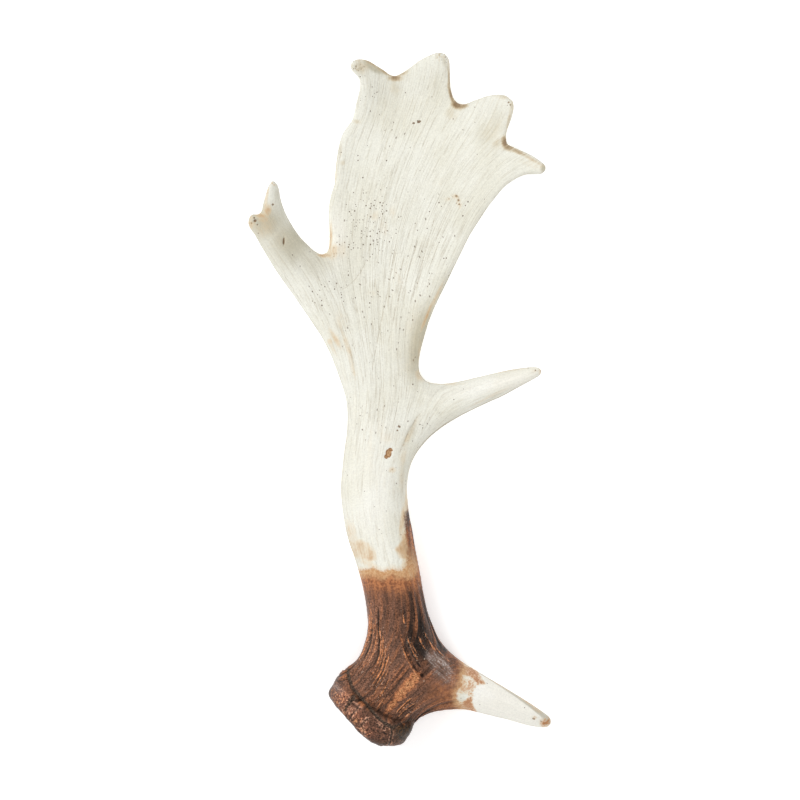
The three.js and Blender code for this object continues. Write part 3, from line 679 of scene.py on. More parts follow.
d_ridge = nearest(RIDGES)
d_furrow = nearest(FURROWS)
named = np.exp(-(np.minimum(d_ridge, d_furrow) / 5.0) ** 2) * upper
furrow *= 1 - 0.7 * named
wave = np.cos(2 * math.pi * phase)
relief += furrow * (0.55 * wave - 0.40 * smooth(-0.4, -0.95, wave))
relief += foot_b * (0.50 * np.exp(-(d_ridge / 1.1) ** 2) - 0.70 * np.exp(-(d_furrow / 1.2) ** 2))
big = np.exp(-(polydist(FURROWS[0])[0] / 2.3) ** 2) * upper
relief -= 1.3 * big
relief += foot_b * (0.9 * fbm(psi * 0.10, PY * 0.010 + zs_, PX * 0.010, 2, 44) + 0.35 * fbm(psi * 0.9, PY * 0.04 + zs_, PX * 0.04, 2, 47) * (1 - 0.6 * quiet))

# fine fibres of the beam, the tines and the palm, always some millimetres apart
ivory_z = smooth(610, 560, PY) + smooth(452, 472, PX) * smooth(600, 640, PY)
deep = 0.25 + 0.50 * smooth(150, 300, PY) * smooth(470, 420, PY)
smooth_tine = np.clip(smooth(425, 455, PX) * smooth(345, 362, PY) + smooth(455, 470, PX) * smooth(600, 640, PY), 0, 1)
for f, lo_, hi_, seed in ((0.24, 0.55, 9.0, 51), (0.62, 0.24, 0.75, 52), (1.6, 0.0, 0.34, 53)):
    wgt = smooth(lo_ * 0.75, lo_ * 1.1 + 1e-6, pg) * smooth(hi_ * 1.15, hi_ * 0.8, pg)
    g = fbm(psi * f, PY * 0.016 + zs_, PX * 0.016, 2, seed, 0.55)
    gl = np.exp(-(noise(psi * f * 0.8, PY * 0.015 + zs_, PX * 0.015, seed + 9) / 0.11) ** 2)
    br_ = smooth(0.0, 0.4, noise(psi * f * 0.5, PY * 0.016, PX * 0.016 + zs_, seed + 19))
    relief += ivory_z * wgt * deep * (1 - 0.8 * smooth_tine) * (0.15 * g - 0.20 * gl * br_)
relief += ivory_z * 0.45 * fbm(V[:, 0] * 0.028, V[:, 1] * 0.020, zs_, 2, 57) * smooth(420, 380, PY)
relief += ivory_z * 0.28 * fbm(V[:, 0] * 0.05, V[:, 1] * 0.05, zs_, 2, 58)

relief += ivory_z * 0.16 * fbm(psi * 0.55, PY * 0.006 + zs_, PX * 0.006, 2, 61) * smooth(420, 380, PY)
# broad hollows and swellings of the palm and the beam: x, y, radii, turn, height
for x, y, rx, ry, a_, h_ in (
        (487, 132, 13, 17, 0.5, -1.9), (400, 118, 9, 34, 0.05, -0.7), (452, 150, 9, 40, 0.35, -0.5), (388, 98, 13, 14, 0, -0.7),
        (428, 95, 8, 22, 0.1, 0.7), (502, 116, 6, 12, 0, 0.5), (368, 100, 8, 30, 0, 0.5), (350, 262, 16, 16, 0, -0.9),
        (386, 270, 6, 70, 0.12, -0.7), (412, 250, 5, 70, 0.2, 0.5), (368, 330, 6, 55, -0.1, 0.5), (405, 352, 7, 40, 0.05, -0.7),
        (410, 436, 5, 22, 0.45, -1.3), (400, 402, 10, 16, 0, 0.8), (380, 420, 4, 60, 0, -0.5), (371, 440, 5, 60, 0, 0.4), (360, 450, 3, 60, 0, -0.4),
        (398, 500, 4, 40, -0.1, -0.5), (303, 262, 8, 16, -0.6, -0.8), (287, 240, 8, 14, -0.7, -0.4), (262, 222, 7, 7, 0, -0.3)):
    relief += h_ * gauss(x, y, rx, ry, a_) * upper

# named cracks: points, half width in picture units, depth in mm
CRACKS = [
    ([(370, 240), (369, 250), (366, 262), (361, 271.5), (354.5, 280.5), (346, 287.5), (337, 292)], 0.38, 0.28),
    ([(398, 232), (392, 266), (386.5, 297), (379, 332), (373, 364), (371, 392)], 0.45, 0.35),
    ([(380.5, 383), (379.5, 398), (378, 412), (376.5, 428)], 0.4, 0.3),
    ([(338, 322), (345, 341), (350, 352), (353, 361)], 0.6, 0.45),
    ([(344, 313), (353, 340), (357, 362)], 0.45, 0.35),
    ([(377, 250), (376, 272), (374, 290)], 0.45, 0.35),
    ([(438, 205), (427, 245), (417, 282), (408, 312)], 0.45, 0.3),
    ([(451, 206), (437, 236), (428, 262), (424, 275)], 0.45, 0.3),
    ([(420, 232), (411, 262), (403, 292), (398, 318)], 0.4, 0.3),
    ([(408, 262), (399, 296), (391, 330), (387, 352)], 0.45, 0.3),
    ([(372, 392), (369, 420), (368, 450)], 0.35, 0.25),
    ([(384, 392), (382, 425), (381, 452)], 0.35, 0.25),
    ([(417.5, 418), (410, 430), (405, 443), (399, 456)], 0.8, 0.7),
    ([(424, 409), (415, 420), (409, 434)], 0.45, 0.3),
]
d_crack = np.full(len(V), 30.0)
for pts, w, dep in CRACKS:
    d_, pos = polydist(pts)
    ends = smooth(0, 0.15, pos) * smooth(1, 0.85, pos)
    relief -= 0.6 * dep * np.exp(-(d_ / max(w * 1.6, 1.2)) ** 2) * (0.35 + 0.65 * ends) * upper
    d_crack = np.minimum(d_crack, d_ + 0.55 - w + 0.7 * (1 - ends))
d_crack = np.where(upper > 0.3, d_crack, 30.0)

# pits and chips: x, y, radii, turn, depth in mm, darkness
PITS = [
    (388.6, 453.6, 3.6, 4.8, 10, 0.7, 0.30), (390.8, 449.6, 2.2, 2.0, 0, 0.5, 0.25), (386.2, 457.0, 2.0, 1.8, 0, 0.5, 0.25),
    (399.3, 426.5, 1.6, 1.0, 30, 0.5, 1.0), (397.3, 430.3, 1.0, 0.9, 0, 0.4, 0.9),
    (284.6, 241.3, 1.2, 4.0, 4, 1.6, 0.62), (255.3, 221.0, 1.5, 1.5, 0, 1.3, 1.0), (273.0, 204.6, 1.0, 1.0, 0, 0.6, 1.0),
    (413.6, 123.3, 1.3, 0.9, 0, 0.5, 1.0), (419.0, 121.7, 2.0, 1.3, -20, 0.7, 1.0),
    (422.6, 675.6, 1.7, 2.2, -35, 1.3, 1.0), (419.0, 664.6, 1.2, 3.2, -35, 0.8, 0.9),
    (382.0, 584.3, 1.2, 1.0, 0, 0.4, 1.0), (400.0, 589.5, 1.2, 1.0, 0, 0.4, 1.0),
    (356.2, 66.8, 1.0, 0.9, 0, 0.7, 0.8), (360.5, 64.3, 0.8, 0.7, 0, 0.5, 0.6), (361.5, 69.0, 0.9, 0.7, 20, 0.6, 0.7), (364.6, 66.8, 0.8, 0.9, 0, 0.4, 0.5), (353.8, 68.8, 0.8, 0.8, 0, 0.5, 0.7), (358.6, 70.9, 0.8, 0.7, 0, 0.4, 0.6), (363.6, 71.4, 0.6, 0.6, 0, 0.3, 0.4),
    (533.9, 718.8, 1.7, 1.1, 20, 0.4, 0.7), (541.2, 721.4, 1.3, 0.9, 30, 0.4, 0.6), (545.4, 723.6, 3.0, 1.5, 12, 0.5, 0.75), (548.0, 720.0, 1.0, 1.2, 0, 0.4, 0.5), (536.0, 711.6, 0.7, 0.7, 0, 0.3, 0.4), (537.8, 713.6, 0.7, 0.6, 0, 0.3, 0.4),
    (254.3, 217.8, 1.2, 1.0, 0, 0.6, 0.7), (251.6, 223.5, 1.2, 1.2, 0, 0.6, 0.6), (257.5, 224.8, 1.0, 1.0, 0, 0.5, 0.6),
    (541.8, 371.8, 1.2, 1.4, 0, 0.5, 0.5), (455.0, 105.0, 2.8, 1.5, 35, 0.2, 0.62), (508.6, 102.4, 1.0, 0.8, 0, 0.4, 0.9), (510.6, 104.8, 0.8, 1.1, 0, 0.4, 0.8), (507.4, 105.2, 0.7, 0.6, 0, 0.3, 0.6), (433.0, 60.4, 0.8, 0.6, 0, 0.3, 0.5), (436.8, 58.2, 0.8, 0.7, 0, 0.3, 0.45), (441.4, 60.2, 0.7, 0.7, 0, 0.3, 0.5), (445.4, 57.0, 0.9, 0.8, 0, 0.3, 0.6), (438.4, 62.8, 0.6, 0.6, 0, 0.3, 0.4), (392.6, 469.4, 1.3, 0.9, 0, 0.3, 0.5), (390.4, 471.6, 0.9, 0.8, 0, 0.3, 0.4),
    (456.4, 196.2, 1.5, 1.1, 20, 0.5, 0.9), (458.4, 200.2, 1.3, 1.0, 60, 0.5, 0.95), (459.2, 204.4, 1.2, 1.0, 0, 0.4, 0.85), (449.0, 198.8, 1.0, 0.7, 0, 0.3, 0.6), (452.6, 196.8, 0.9, 0.7, 0, 0.3, 0.5), (456.4, 203.2, 0.8, 0.8, 0, 0.3, 0.6),
]
for x, y, rx, ry, an, dep, dk in PITS:
    relief -= dep * spot(x, y, max(rx, 1.1), max(ry, 1.1), an, 1.0) * upper
    pit_dirt_and_shade = np.maximum(pit_dirt_and_shade, dk * spot(x, y, rx, ry, an, 1.3) * upper)

# the knob where the brow tine leaves
knob = spot(421.0, 670.6, 2.6, 3.2, -30, 0.8) * upper
relief += 1.5 * knob

# stains, some of them painted shade on rim walls, in notches and in the crotch: x, y, radii, turn, strength
STAINS = [
    (395.0, 78.0, 5.5, 2.6, 0, 1.1), (401, 74.5, 7, 2.0, -28, 0.6), (384, 71.6, 10, 1.6, 30, 0.9), (372, 63.5, 9, 1.6, 24, 0.85), (361, 67.0, 7, 6, 0, 0.36), (396, 86, 5, 8, 0, 0.25),
    (457.0, 104.8, 4.6, 3.2, 24, 1.4), (462.5, 106.4, 4.5, 1.8, -8, 0.95), (451.2, 96.0, 1.4, 9, -14, 1.1), (449.2, 76, 1.0, 14, -3, 0.8), (446, 61, 3.0, 5, 0, 0.22), (440, 57, 7, 3, 0, 0.14), (452, 113, 5, 7, 20, 0.30),
    (504.9, 142.6, 2.6, 5.0, -8, 1.25), (511.8, 105.5, 1.2, 6.5, 0, 0.5), (508.6, 120, 1.1, 11, 12, 0.6), (494, 131, 13, 11, -30, 0.22), (503, 97.5, 9, 1.6, 8, 0.35), (498, 144, 6, 6, 0, 0.30),
    (516, 151.2, 11, 1.6, 24, 0.85), (531, 159.0, 11, 1.5, 29, 0.62), (531, 164, 10, 3.4, 20, 0.25), (509.5, 148.0, 5, 2.6, 16, 0.95),
    (333.5, 252.0, 4.5, 6.5, 25, 0.42), (325.5, 255.3, 6, 1.8, 0, 0.65), (330.6, 238.0, 1.4, 12, 2, 0.60), (341, 250, 6, 8, 20, 0.22),
    (427.0, 316.0, 1.3, 12, 22, 0.62), (419.0, 350.0, 1.2, 14, 6, 0.25), (412, 352, 9, 26, 12, 0.14), (420.5, 375.5, 4, 5, -30, 0.45), (415, 318, 6, 18, 22, 0.16), (437, 296, 1.6, 14, 25, 0.35),
    (334.5, 337.5, 2.4, 10, -32, 0.34), (329.5, 342.0, 3.0, 3.0, 0, 0.3), (333, 349, 1.6, 9, -30, 0.25), (341, 322, 5, 8, -20, 0.22), (352, 364, 2, 14, -14, 0.26), (347, 345, 2.0, 12, -18, 0.30),
    (267.0, 211.0, 3.0, 5.5, 20, 0.55), (260.5, 215.8, 4.0, 2.0, 10, 0.75), (265, 228, 9, 9, 20, 0.28), (276, 240, 10, 12, 30, 0.16), (250.6, 222, 3, 6, 0, 0.45), (266.6, 198, 1.4, 10, 8, 0.45), (263, 219, 5, 4, 0, 0.4),
    (455.5, 196.5, 3.4, 2.2, 20, 0.42), (447.5, 199.0, 4.0, 1.8, 0, 0.26), (459, 203, 2.4, 5, -10, 0.35), (356.0, 121.5, 4.0, 1.8, 10, 0.38), (342.5, 162.5, 2.2, 2.4, 0, 0.42), (340.8, 152, 1.6, 6, 0, 0.26), (336, 175, 1.4, 16, 5, 0.2),
    (384, 227, 4.0, 10, -12, 0.22), (375, 216, 6, 4, 0, 0.20), (398, 277, 2.6, 8, -18, 0.18), (372, 293, 4, 2.0, 10, 0.24), (392, 212, 3, 6, 0, 0.2), (440, 182, 3, 6, 30, 0.16),
    (392.5, 470.0, 3.2, 2.4, 0, 0.40), (387, 438, 5, 6, 0, 0.18), (410, 434, 2.6, 16, 28, 0.28), (402, 483, 3.0, 26, -3, 0.20), (381, 432, 3, 14, 0, 0.16), (403, 458, 3, 10, 10, 0.22), (371, 452, 2.4, 30, 0, 0.12),
    (541.6, 371.0, 1.8, 3.4, 20, 0.60), (535, 371, 4, 2.5, 0, 0.18), (500, 372, 24, 1.2, -8, 0.25), (446, 383, 14, 1.6, 3, 0.3), (487, 398, 22, 1.2, -26, 0.25),
    (545.5, 723.0, 4.0, 3.0, 15, 0.95), (534.5, 717.6, 2.6, 1.8, 0, 0.30), (537, 709.5, 2.0, 6, -52, 0.30), (549.3, 720, 1.6, 4, 0, 0.6), (528, 702, 12, 1.4, 35, 0.35), (500, 684.6, 16, 1.2, 31, 0.3),
    # tan patches above and below the brown border
    (352.0, 534.0, 4.0, 13, -14, 0.35), (366, 562, 7, 3, 20, 0.40),
    (407.0, 541.0, 4.0, 9.0, 0, 0.8), (402.6, 521.0, 1.8, 12.0, 8, 0.55), (406.5, 503, 1.6, 12, 0, 0.5), (407.0, 563, 4, 6, 0, 0.6),
    # the brow tine's root
    (469, 686, 4, 3, 0, 0.45),
]
for x, y, rx, ry, an, a_ in STAINS:
    stain_and_shade = np.maximum(stain_and_shade, a_ * spot(x, y, rx * 1.2, ry * 1.2, an, 0.6) * (0.35 + 0.65 * upper))


def patch(pts, level, soft=3.0):
    """ragged flat patch inside an outline"""
    P = np.asarray(pts, float)
    Q_ = np.roll(P, -1, 0)
    odd = np.zeros(len(V), bool)
    for (x0, y0), (x1, y1) in zip(P, Q_):
        c_ = (y0 > PY) != (y1 > PY)
        odd ^= c_ & (PX < (x1 - x0) * (PY - y0) / (y1 - y0 + 1e-12) + x0)
    d_, _ = polydist(np.vstack([P, P[:1]]))
    return level * smooth(-soft, soft * 0.7, np.where(odd, d_, -d_)) * upper


for pts, level, soft in (
        ([(349, 541), (361, 541), (368, 544.5), (374, 551.5), (375, 559), (370, 561), (362, 559.5), (354, 556)], 0.62, 5.0),
        ([(364, 547), (372, 550), (374.6, 559.5), (368, 561.5), (362, 556)], 0.66, 4.0),
        ([(396, 549), (400, 543.5), (404.5, 537), (412, 538), (414, 558), (407, 560), (400, 557.5)], 0.84, 3.0),
        ([(402, 544), (414, 540), (415, 556), (405, 556)], 1.0, 3.0),
        ([(456, 663), (470, 667.5), (477, 671.5), (480, 676), (484.5, 683.5), (478, 684.5), (474, 680.5), (470, 676.5), (463, 674.5)], 1.10, 2.2),
        ([(456, 701.5), (462, 703.5), (466, 700.5), (471.5, 696), (471.5, 703), (476.5, 712.5), (467, 711.5), (459, 709)], 1.10, 2.2),
        ([(460, 679.5), (470, 680), (475.5, 685), (473, 690.5), (472, 698), (468, 693.0), (460, 692.0)], 0.76, 3.4)):
    stain_and_shade = np.maximum(stain_and_shade, patch(pts, level, soft))
chip = np.maximum(spot(388.6, 453.2, 2.9, 4.2, 8, 0.8), np.maximum(spot(390.6, 450.0, 2.0, 1.9, 0, 0.7), spot(386.4, 456.6, 2.1, 1.9, 0, 0.7))) * upper
# painted shade: the steep rim walls of the points and notches take the stain colour, where shade falls
shaded_wall = smooth(0.55, 0.95, side) * smooth(420, 370, PY)
rimline, _ = polydist([(354, 61), (367, 60.8), (383, 70), (394.5, 76.2), (409.6, 68.2), (427, 57), (440, 53), (449.3, 62), (450.4, 88), (459, 103.8), (475.5, 100.2), (498, 94.6), (512.2, 101.5), (507.2, 129), (507, 144.3), (530, 154.8), (544, 167)])
stain_and_shade = np.maximum(stain_and_shade, 0.30 * shaded_wall * smooth(7, 1.5, rimline))

# brown foot: signed distance, mm, above zero inside the brown
EDGE = [(320, 570), (356, 570), (362, 569.5), (368, 569), (373.5, 567.5), (378, 569.5), (383, 571.5), (388, 569), (392.5, 568), (397, 570.5), (401, 569.5), (405.5, 566), (407.5, 556), (408.3, 548), (407.0, 540), (405.2, 530), (404.6, 521), (405.6, 514), (407.0, 507.5), (409, 497), (416, 488), (430, 486)]
d_, _ = polydist(EDGE)
yb = np.interp(PX, [p[0] for p in EDGE], [p[1] for p in EDGE])
hit = np.where(PX > 403, (PX - np.interp(PY, [488, 497, 507.5, 514, 521, 530, 540, 548, 556, 566, 570], [416, 409, 407, 405.6, 404.6, 405.2, 407, 408.3, 407.5, 405.5, 401])) > 0, PY > yb)
hit = np.where(PY > 572, True, hit & (PY > 488))
sd1 = np.where(hit, d_, -d_)
BROW = [(476, 651), (465, 660), (465.5, 668), (463.5, 674.5), (463.0, 681), (460.0, 687.5), (456.2, 693), (456.6, 698), (459, 704), (463, 709), (467, 713), (476, 726)]
d_, _ = polydist(BROW)
xb = np.interp(PY, [p[1] for p in BROW], [p[0] for p in BROW])
sd2 = np.where(PX < xb, d_, -d_)
brown = np.minimum(sd1, sd2) * S
brown = np.where(brown > 2.5, np.maximum(brown - 7.0 * gauss(411.5, 574.0, 8, 14, -0.15) * upper, 2.5), brown)
brow_side = smooth(430, 452, PX) * smooth(630, 655, PY)

# pores: x, y, radii, turn, density
PORES = [
    (368, 222, 27, 34, 20, 0.95), (366, 202, 22, 20, 0, 0.8), (345, 246, 16, 16, 0, 0.6), (335, 290, 20, 20, 0, 0.55), (322, 302, 12, 16, -30, 0.7),
    (460, 200, 14, 10, 0, 0.6), (446, 262, 20, 24, 25, 0.5), (430, 275, 14, 26, 20, 0.4), (385, 345, 26, 22, 0, 0.22), (372, 300, 30, 30, 0, 0.26),
    (440, 58, 9, 6, 0, 0.9), (360, 66, 9, 7, 0, 0.75), (425, 72, 14, 10, 0, 0.5), (420, 400, 22, 26, 20, 0.28), (425, 430, 14, 22, 30, 0.45),
    (398, 475, 12, 14, 0, 0.5), (470, 390, 30, 12, -15, 0.35), (365, 90, 14, 14, 0, 0.5), (510, 105, 6, 8, 0, 0.5), (540, 720, 12, 8, 20, 0.25), (380, 585, 26, 14, 0, 0.6),
    (400, 200, 60, 90, 15, 0.24), (262, 225, 12, 14, 0, 0.5),
]
for x, y, rx, ry, an, a_ in PORES:
    pores = np.maximum(pores, a_ * spot(x, y, rx, ry, an, 0.5))
pores = np.clip(pores, 0.14, 1)

# short dark dashes along the fibres: x, y, radii, turn, density
dash = np.zeros(len(V))
for x, y, rx, ry, a_, k_ in ((386, 295, 24, 62, 0.12, 1.0), (372, 215, 18, 40, 0.1, 0.55), (408, 330, 12, 50, 0.15, 0.7), (384, 150, 16, 60, 0.1, 0.35), (425, 250, 16, 44, 0.4, 0.55), (372, 400, 16, 44, 0, 0.45), (345, 335, 8, 30, -0.3, 0.6), (300, 285, 12, 26, -0.7, 0.3)):
    dash = np.maximum(dash, k_ * gauss(x, y, rx, ry, a_))

# worn, spongy ends
ENDS = [(357, 65.5, 8), (441, 56, 7), (509, 101, 6), (543.5, 168.5, 6), (541.2, 370.6, 4.5), (547.5, 721.5, 7), (252, 221, 6.5), (273.5, 183, 4)]
for x, y, r_ in ENDS:
    rough = np.maximum(rough, smooth(r_ * 1.2, r_ * 0.4, np.hypot(PX - x, PY - y)))
nz = fbm(V[:, 0] * 0.55, V[:, 1] * 0.55, V[:, 2] * 0.55, 2, 111)
relief += rough * 0.4 * nz
stain_and_shade = np.maximum(stain_and_shade, rough * smooth(0.05, -0.45, nz) * 0.5)

# the burr: a band with a few lumps and splits, and a pitted seal
wx, wy, wz = V[:, 0], V[:, 1], V[:, 2]
lump = fbm(wx * 0.06, wy * 0.06, wz * 0.06, 2, 131)
grit = fbm(wx * 0.22, wy * 0.22, wz * 0.22, 2, 138)
split = fbm(ba * 3.2 + 0.2 * noise(wx * 0.1, wy * 0.1, wz * 0.1, 133), bt * 0.03, 0.3, 2, 134)
sl = np.exp(-(split / 0.05) ** 2) * smooth(0.1, 0.5, noise(ba * 3, bt * 0.05, 2.2, 135)) * smooth(BURR_T / 2 - 2, BURR_T / 2 - 6, bt) * (1 - upper)
seal = smooth(BURR_T / 2 - 5, BURR_T / 2 - 1, bt) * (bd < 1.5)
pit = smooth(0.2, 0.6, fbm(wx * 0.20, wy * 0.20, wz * 0.20, 2, 136))
relief += on_burr * (0.9 * lump + 0.35 * grit - 1.2 * sl) + seal * (0.8 * fbm(wx * 0.16, wy * 0.16, wz * 0.16, 3, 137) - 0.9 * pit)
pit_dirt_and_shade = np.maximum(pit_dirt_and_shade, on_burr * 0.9 * sl + seal * 0.6 * pit)
BAND = [
    ([(347.4, 669.0), (348.6, 677.0), (352.5, 687.5), (361.5, 697), (369.4, 706.7), (377.2, 716.5), (385, 723.2), (392.8, 727.6)], 1.8, 1.5),
    ([(392.2, 727.6), (391.9, 734), (390.6, 740), (388.5, 745)], 0.9, 0.8),
    ([(392.8, 727.6), (398, 725.2), (404, 722), (414, 719.5)], 0.9, 0.8),
    ([(354.6, 695.6), (351.2, 699.4), (348.4, 703.4)], 2.3, 1.8),
    ([(348.4, 703.4), (346.2, 706.8), (344.8, 710.0)], 1.5, 1.1),
    ([(360.0, 704.6), (356.5, 709.0), (352.6, 713.8), (349.8, 718.8)], 0.7, 0.6),
    ([(358.0, 728.2), (361.6, 724.6), (364.4, 721.2), (367.4, 718.6)], 0.75, 0.6),
    ([(361.2, 724.6), (363.4, 730.0), (363.4, 736.0)], 0.6, 0.5),
    ([(368.0, 740.5), (369.6, 744.5)], 1.0, 0.8),
    ([(376.5, 724.0), (380.5, 727.2), (384.5, 729.0)], 0.5, 0.3),
]
d_band = np.full(len(V), 30.0)
for pts, w, dep in BAND:
    d_, pos = polydist(pts)
    relief -= dep * np.exp(-(d_ / max(w, 1.1)) ** 2) * upper * smooth(-0.06, 0.14, pos)
    d_band = np.minimum(d_band, np.maximum(d_ + 1.0 - w + 0.8 * smooth(0.06, 0.0, pos), 0))
d_band = np.where(upper > 0.3, d_band, 30.0)
gr = np.exp(-((bd - 1.0) / 1.5) ** 2) * smooth(-BURR_T / 2 - 5, -BURR_T / 2 - 1, bt) * smooth(-BURR_T / 2 + 5, -BURR_T / 2 + 2, bt) * (1 - upper)
relief -= 1.2 * gr
pit_dirt_and_shade = np.maximum(pit_dirt_and_shade, gr)
relief += 0.8 * gauss(341, 686, 8, 12, -0.5) * on_burr * upper + 0.7 * gauss(372, 722, 10, 7, 0.7) * on_burr * upper + 1.9 * gauss(410.0, 735.0, 7, 10, 0.3) * on_burr + 1.6 * gauss(400.0, 744.5, 9, 5, 0) * on_burr

# the places it lies on stay flat
rest = V[:, 2] < 0.6
relief = np.where(rest, np.minimum(relief, 0) * 0.3, relief)
relief = np.clip(relief, -3.0, 2.0)
V = V + N * relief[:, None]
V[:, 2] = np.maximum(V[:, 2], 0)
pit_dirt_and_shade = np.clip(pit_dirt_and_shade, 0, 1)
# dirt and painted shade: the back tine's end, the palm's edge by the crotch, the points' rim walls and the hollow by
# the third point are darkened where shade falls, with some real dirt
dirt_and_painted_shade = np.zeros(len(V))
for x, y, rx, ry, a_, k_ in ((266, 221, 20, 20, 0.85, 0.85), (290, 242, 24, 20, 0.85, 0.72), (312, 263, 22, 16, 0.75, 0.38), (276, 195, 3, 12, 0, 0.5),
                             (421, 338, 11, 40, 0.28, 1.0), (413, 368, 11, 20, 0, 0.6), (440, 292, 8, 30, 0.45, 0.45), (486, 134, 14, 15, 0.5, 0.35), (360, 66, 9, 7, 0, 0.5), (373, 67.0, 12, 3.8, 0.55, 1.3), (444.5, 62, 2.5, 9, -0.4, 0.6), (543.8, 167, 2.6, 5.5, 0.3, 1.3), (497, 146, 8, 7, 0, 0.3),
                             (372, 215, 26, 60, 0.15, 0.10), (410, 434, 6, 22, 0.45, 0.6), (401, 480, 5, 40, 0, 0.30), (350, 285, 26, 16, 0.3, 0.15), (385, 90, 22, 16, 0, 0.25), (436, 80, 8, 26, 0, 0.25), (466, 196, 10, 12, 0, 0.15), (497, 118, 12, 20, 0.2, 0.35), (445, 255, 12, 60, 0.42, 0.12), (500, 108, 14, 12, 0, 0.25), (420, 80, 26, 20, 0, 0.16)):
    dirt_and_painted_shade = np.maximum(dirt_and_painted_shade, k_ * gauss(x, y, rx, ry, a_) * (0.4 + 0.6 * upper))
# the burr's paint, lighter on the swellings; painted shade darkens it low on its far lobe, and darkens the foot's far
# side and the hollows by the brow tine
dark_paint_and_shade = np.zeros(len(V))
for x, y, rx, ry, a_, k_ in ((405, 733, 14.5, 15, 0, 1.35), (380, 745, 22, 4, 0, 0.6), (340, 716, 5, 16, -0.6, 0.5), (334, 690, 5, 12, 0.3, 0.45), 
                             (416, 640, 12, 31, -0.35, 1.25), (424, 652, 7, 19, -0.6, 1.25), (412, 608, 9, 28, -0.12, 0.95), (401, 613, 7, 9, 0, 0.8), (397, 612, 5, 24, 0.1, 0.55), (388, 600, 6, 18, 0, 0.35), (406, 620, 12, 18, 0, 0.55), (421, 628, 9, 34, -0.35, 1.2), (434, 644, 9, 25, -0.72, 0.9), (445, 655, 6, 15, -0.9, 0.6), (411.5, 535, 4.5, 30, -0.1, 0.60), (416, 585, 6, 26, -0.15, 0.45), (430, 692, 18, 8, 0.5, 0.42)):
    dark_paint_and_shade = np.maximum(dark_paint_and_shade, k_ * gauss(x, y, rx, ry, a_) * upper)
worn = np.zeros(len(V))
for x, y, rx, ry, a_, k_ in ((415.5, 677, 6.0, 6.0, 0.3, 1.2), (409, 685, 6.5, 8.5, 0.75, 1.25), (401, 694, 6.0, 9, 0.75, 1.15), (392.5, 705, 4.0, 11, 0.72, 1.0), (402, 640, 1.5, 12, -0.25, 0.6), (409, 656, 1.5, 9, -0.5, 0.6), (371, 620, 3.4, 24, 0.02, 0.6),
                             (355, 721, 6, 4, 0.7, 0.70), (362, 729, 4, 5, 0.7, 0.55), (380, 738, 5, 4, 0.4, 0.45), (386, 727.5, 7, 1.6, 0.5, 0.5), (413, 578, 3.4, 17, -0.15, 0.62), (406.5, 545, 2.2, 22, 0.05, 0.75), (411.5, 540, 2.6, 26, -0.1, 0.72), (408, 508, 2.0, 8, 0, 0.5)):
    worn = np.maximum(worn, k_ * gauss(x, y, rx, ry, a_) * upper)
# painted shade: steep sides and rim walls that face away from the light are greyed, more on sides facing right, the
# points' upper walls and the middle tine's lower side
painted_flank_shade = (0.6 + 0.9 * smooth(-0.1, 0.6, N[:, 0]) * smooth(470, 430, PY)) * smooth(0.60, 0.95, side) * (0.35 + 0.65 * smooth(-0.75, 0.05, N[:, 2]))
painted_flank_shade *= 1 + 1.2 * smooth(0.2, 0.7, N[:, 1]) * smooth(215, 195, PY)
painted_flank_shade *= 1 + 1.6 * smooth(0.05, 0.55, -N[:, 1]) * smooth(345, 365, PY) * smooth(470, 450, PY) * smooth(405, 425, PX)
# the brow tine's upper side falls away in a grey strip of painted shade that widens to its tip
d_, pos = polydist([(478.0, 671.8), (493, 680.7), (515.5, 694.2), (532, 704.5), (543, 712), (550.5, 718.5)])
w_ = 0.6 + 5.0 * pos ** 1.8
painted_flank_shade = np.maximum(painted_flank_shade, 1.5 * smooth(w_ + 0.8, w_ - 0.6, d_) * smooth(0.0, 0.05, pos) * upper)
# lighter flat facets of the burr beside the gouge and on its left lobe: pinkish paint and painted highlight
plane = np.maximum(gauss(357.0, 700.5, 15, 4.8, 0.785), np.maximum(0.8 * gauss(352, 711, 6, 4.5, -0.6), 0.6 * gauss(343, 693, 7, 4, -0.7))) * upper
# painted light: the brow tine, the beam's middle, the palm's left edge and the middle tine are painted whiter where
# light falls on them, partly whiter bone
clean_and_painted_light = np.maximum(np.clip(smooth(462, 474, PX) * smooth(640, 660, PY), 0, 1) * 0.95, np.maximum(0.35 * gauss(372, 500, 22, 46, 0), np.maximum(0.6 * gauss(338, 236, 9, 26, 0), 0.7 * gauss(505, 381, 46, 9, -0.24))))
# painted highlight: a shine beside the brow tine and on the burr's left lobe, which also lowers the roughness there
painted_sheen = np.maximum(1.25 * gauss(440.5, 664.0, 15, 6.5, 0.74), np.maximum(0.80 * gauss(448, 675, 18, 10, 0.6), 0.45 * gauss(338, 685, 6, 11, -0.4))) * upper
# painted shade: the side of the foot that faces away from the light is darkened
far = smooth(-0.05, 0.45, N[:, 0]) * smooth(0.30, 0.80, side) * smooth(498, 520, PY) * smooth(466, 452, PX) * (1 - on_burr)
dark_paint_and_shade = np.maximum(dark_paint_and_shade, 1.30 * far * (1 - 0.9 * gauss(413, 576, 9, 20, -0.15)))
# painted shade: the burr is darker on its steep sides towards its outline
dark_paint_and_shade = np.maximum(dark_paint_and_shade, on_burr * smooth(0.30, 0.80, side) * 0.65)
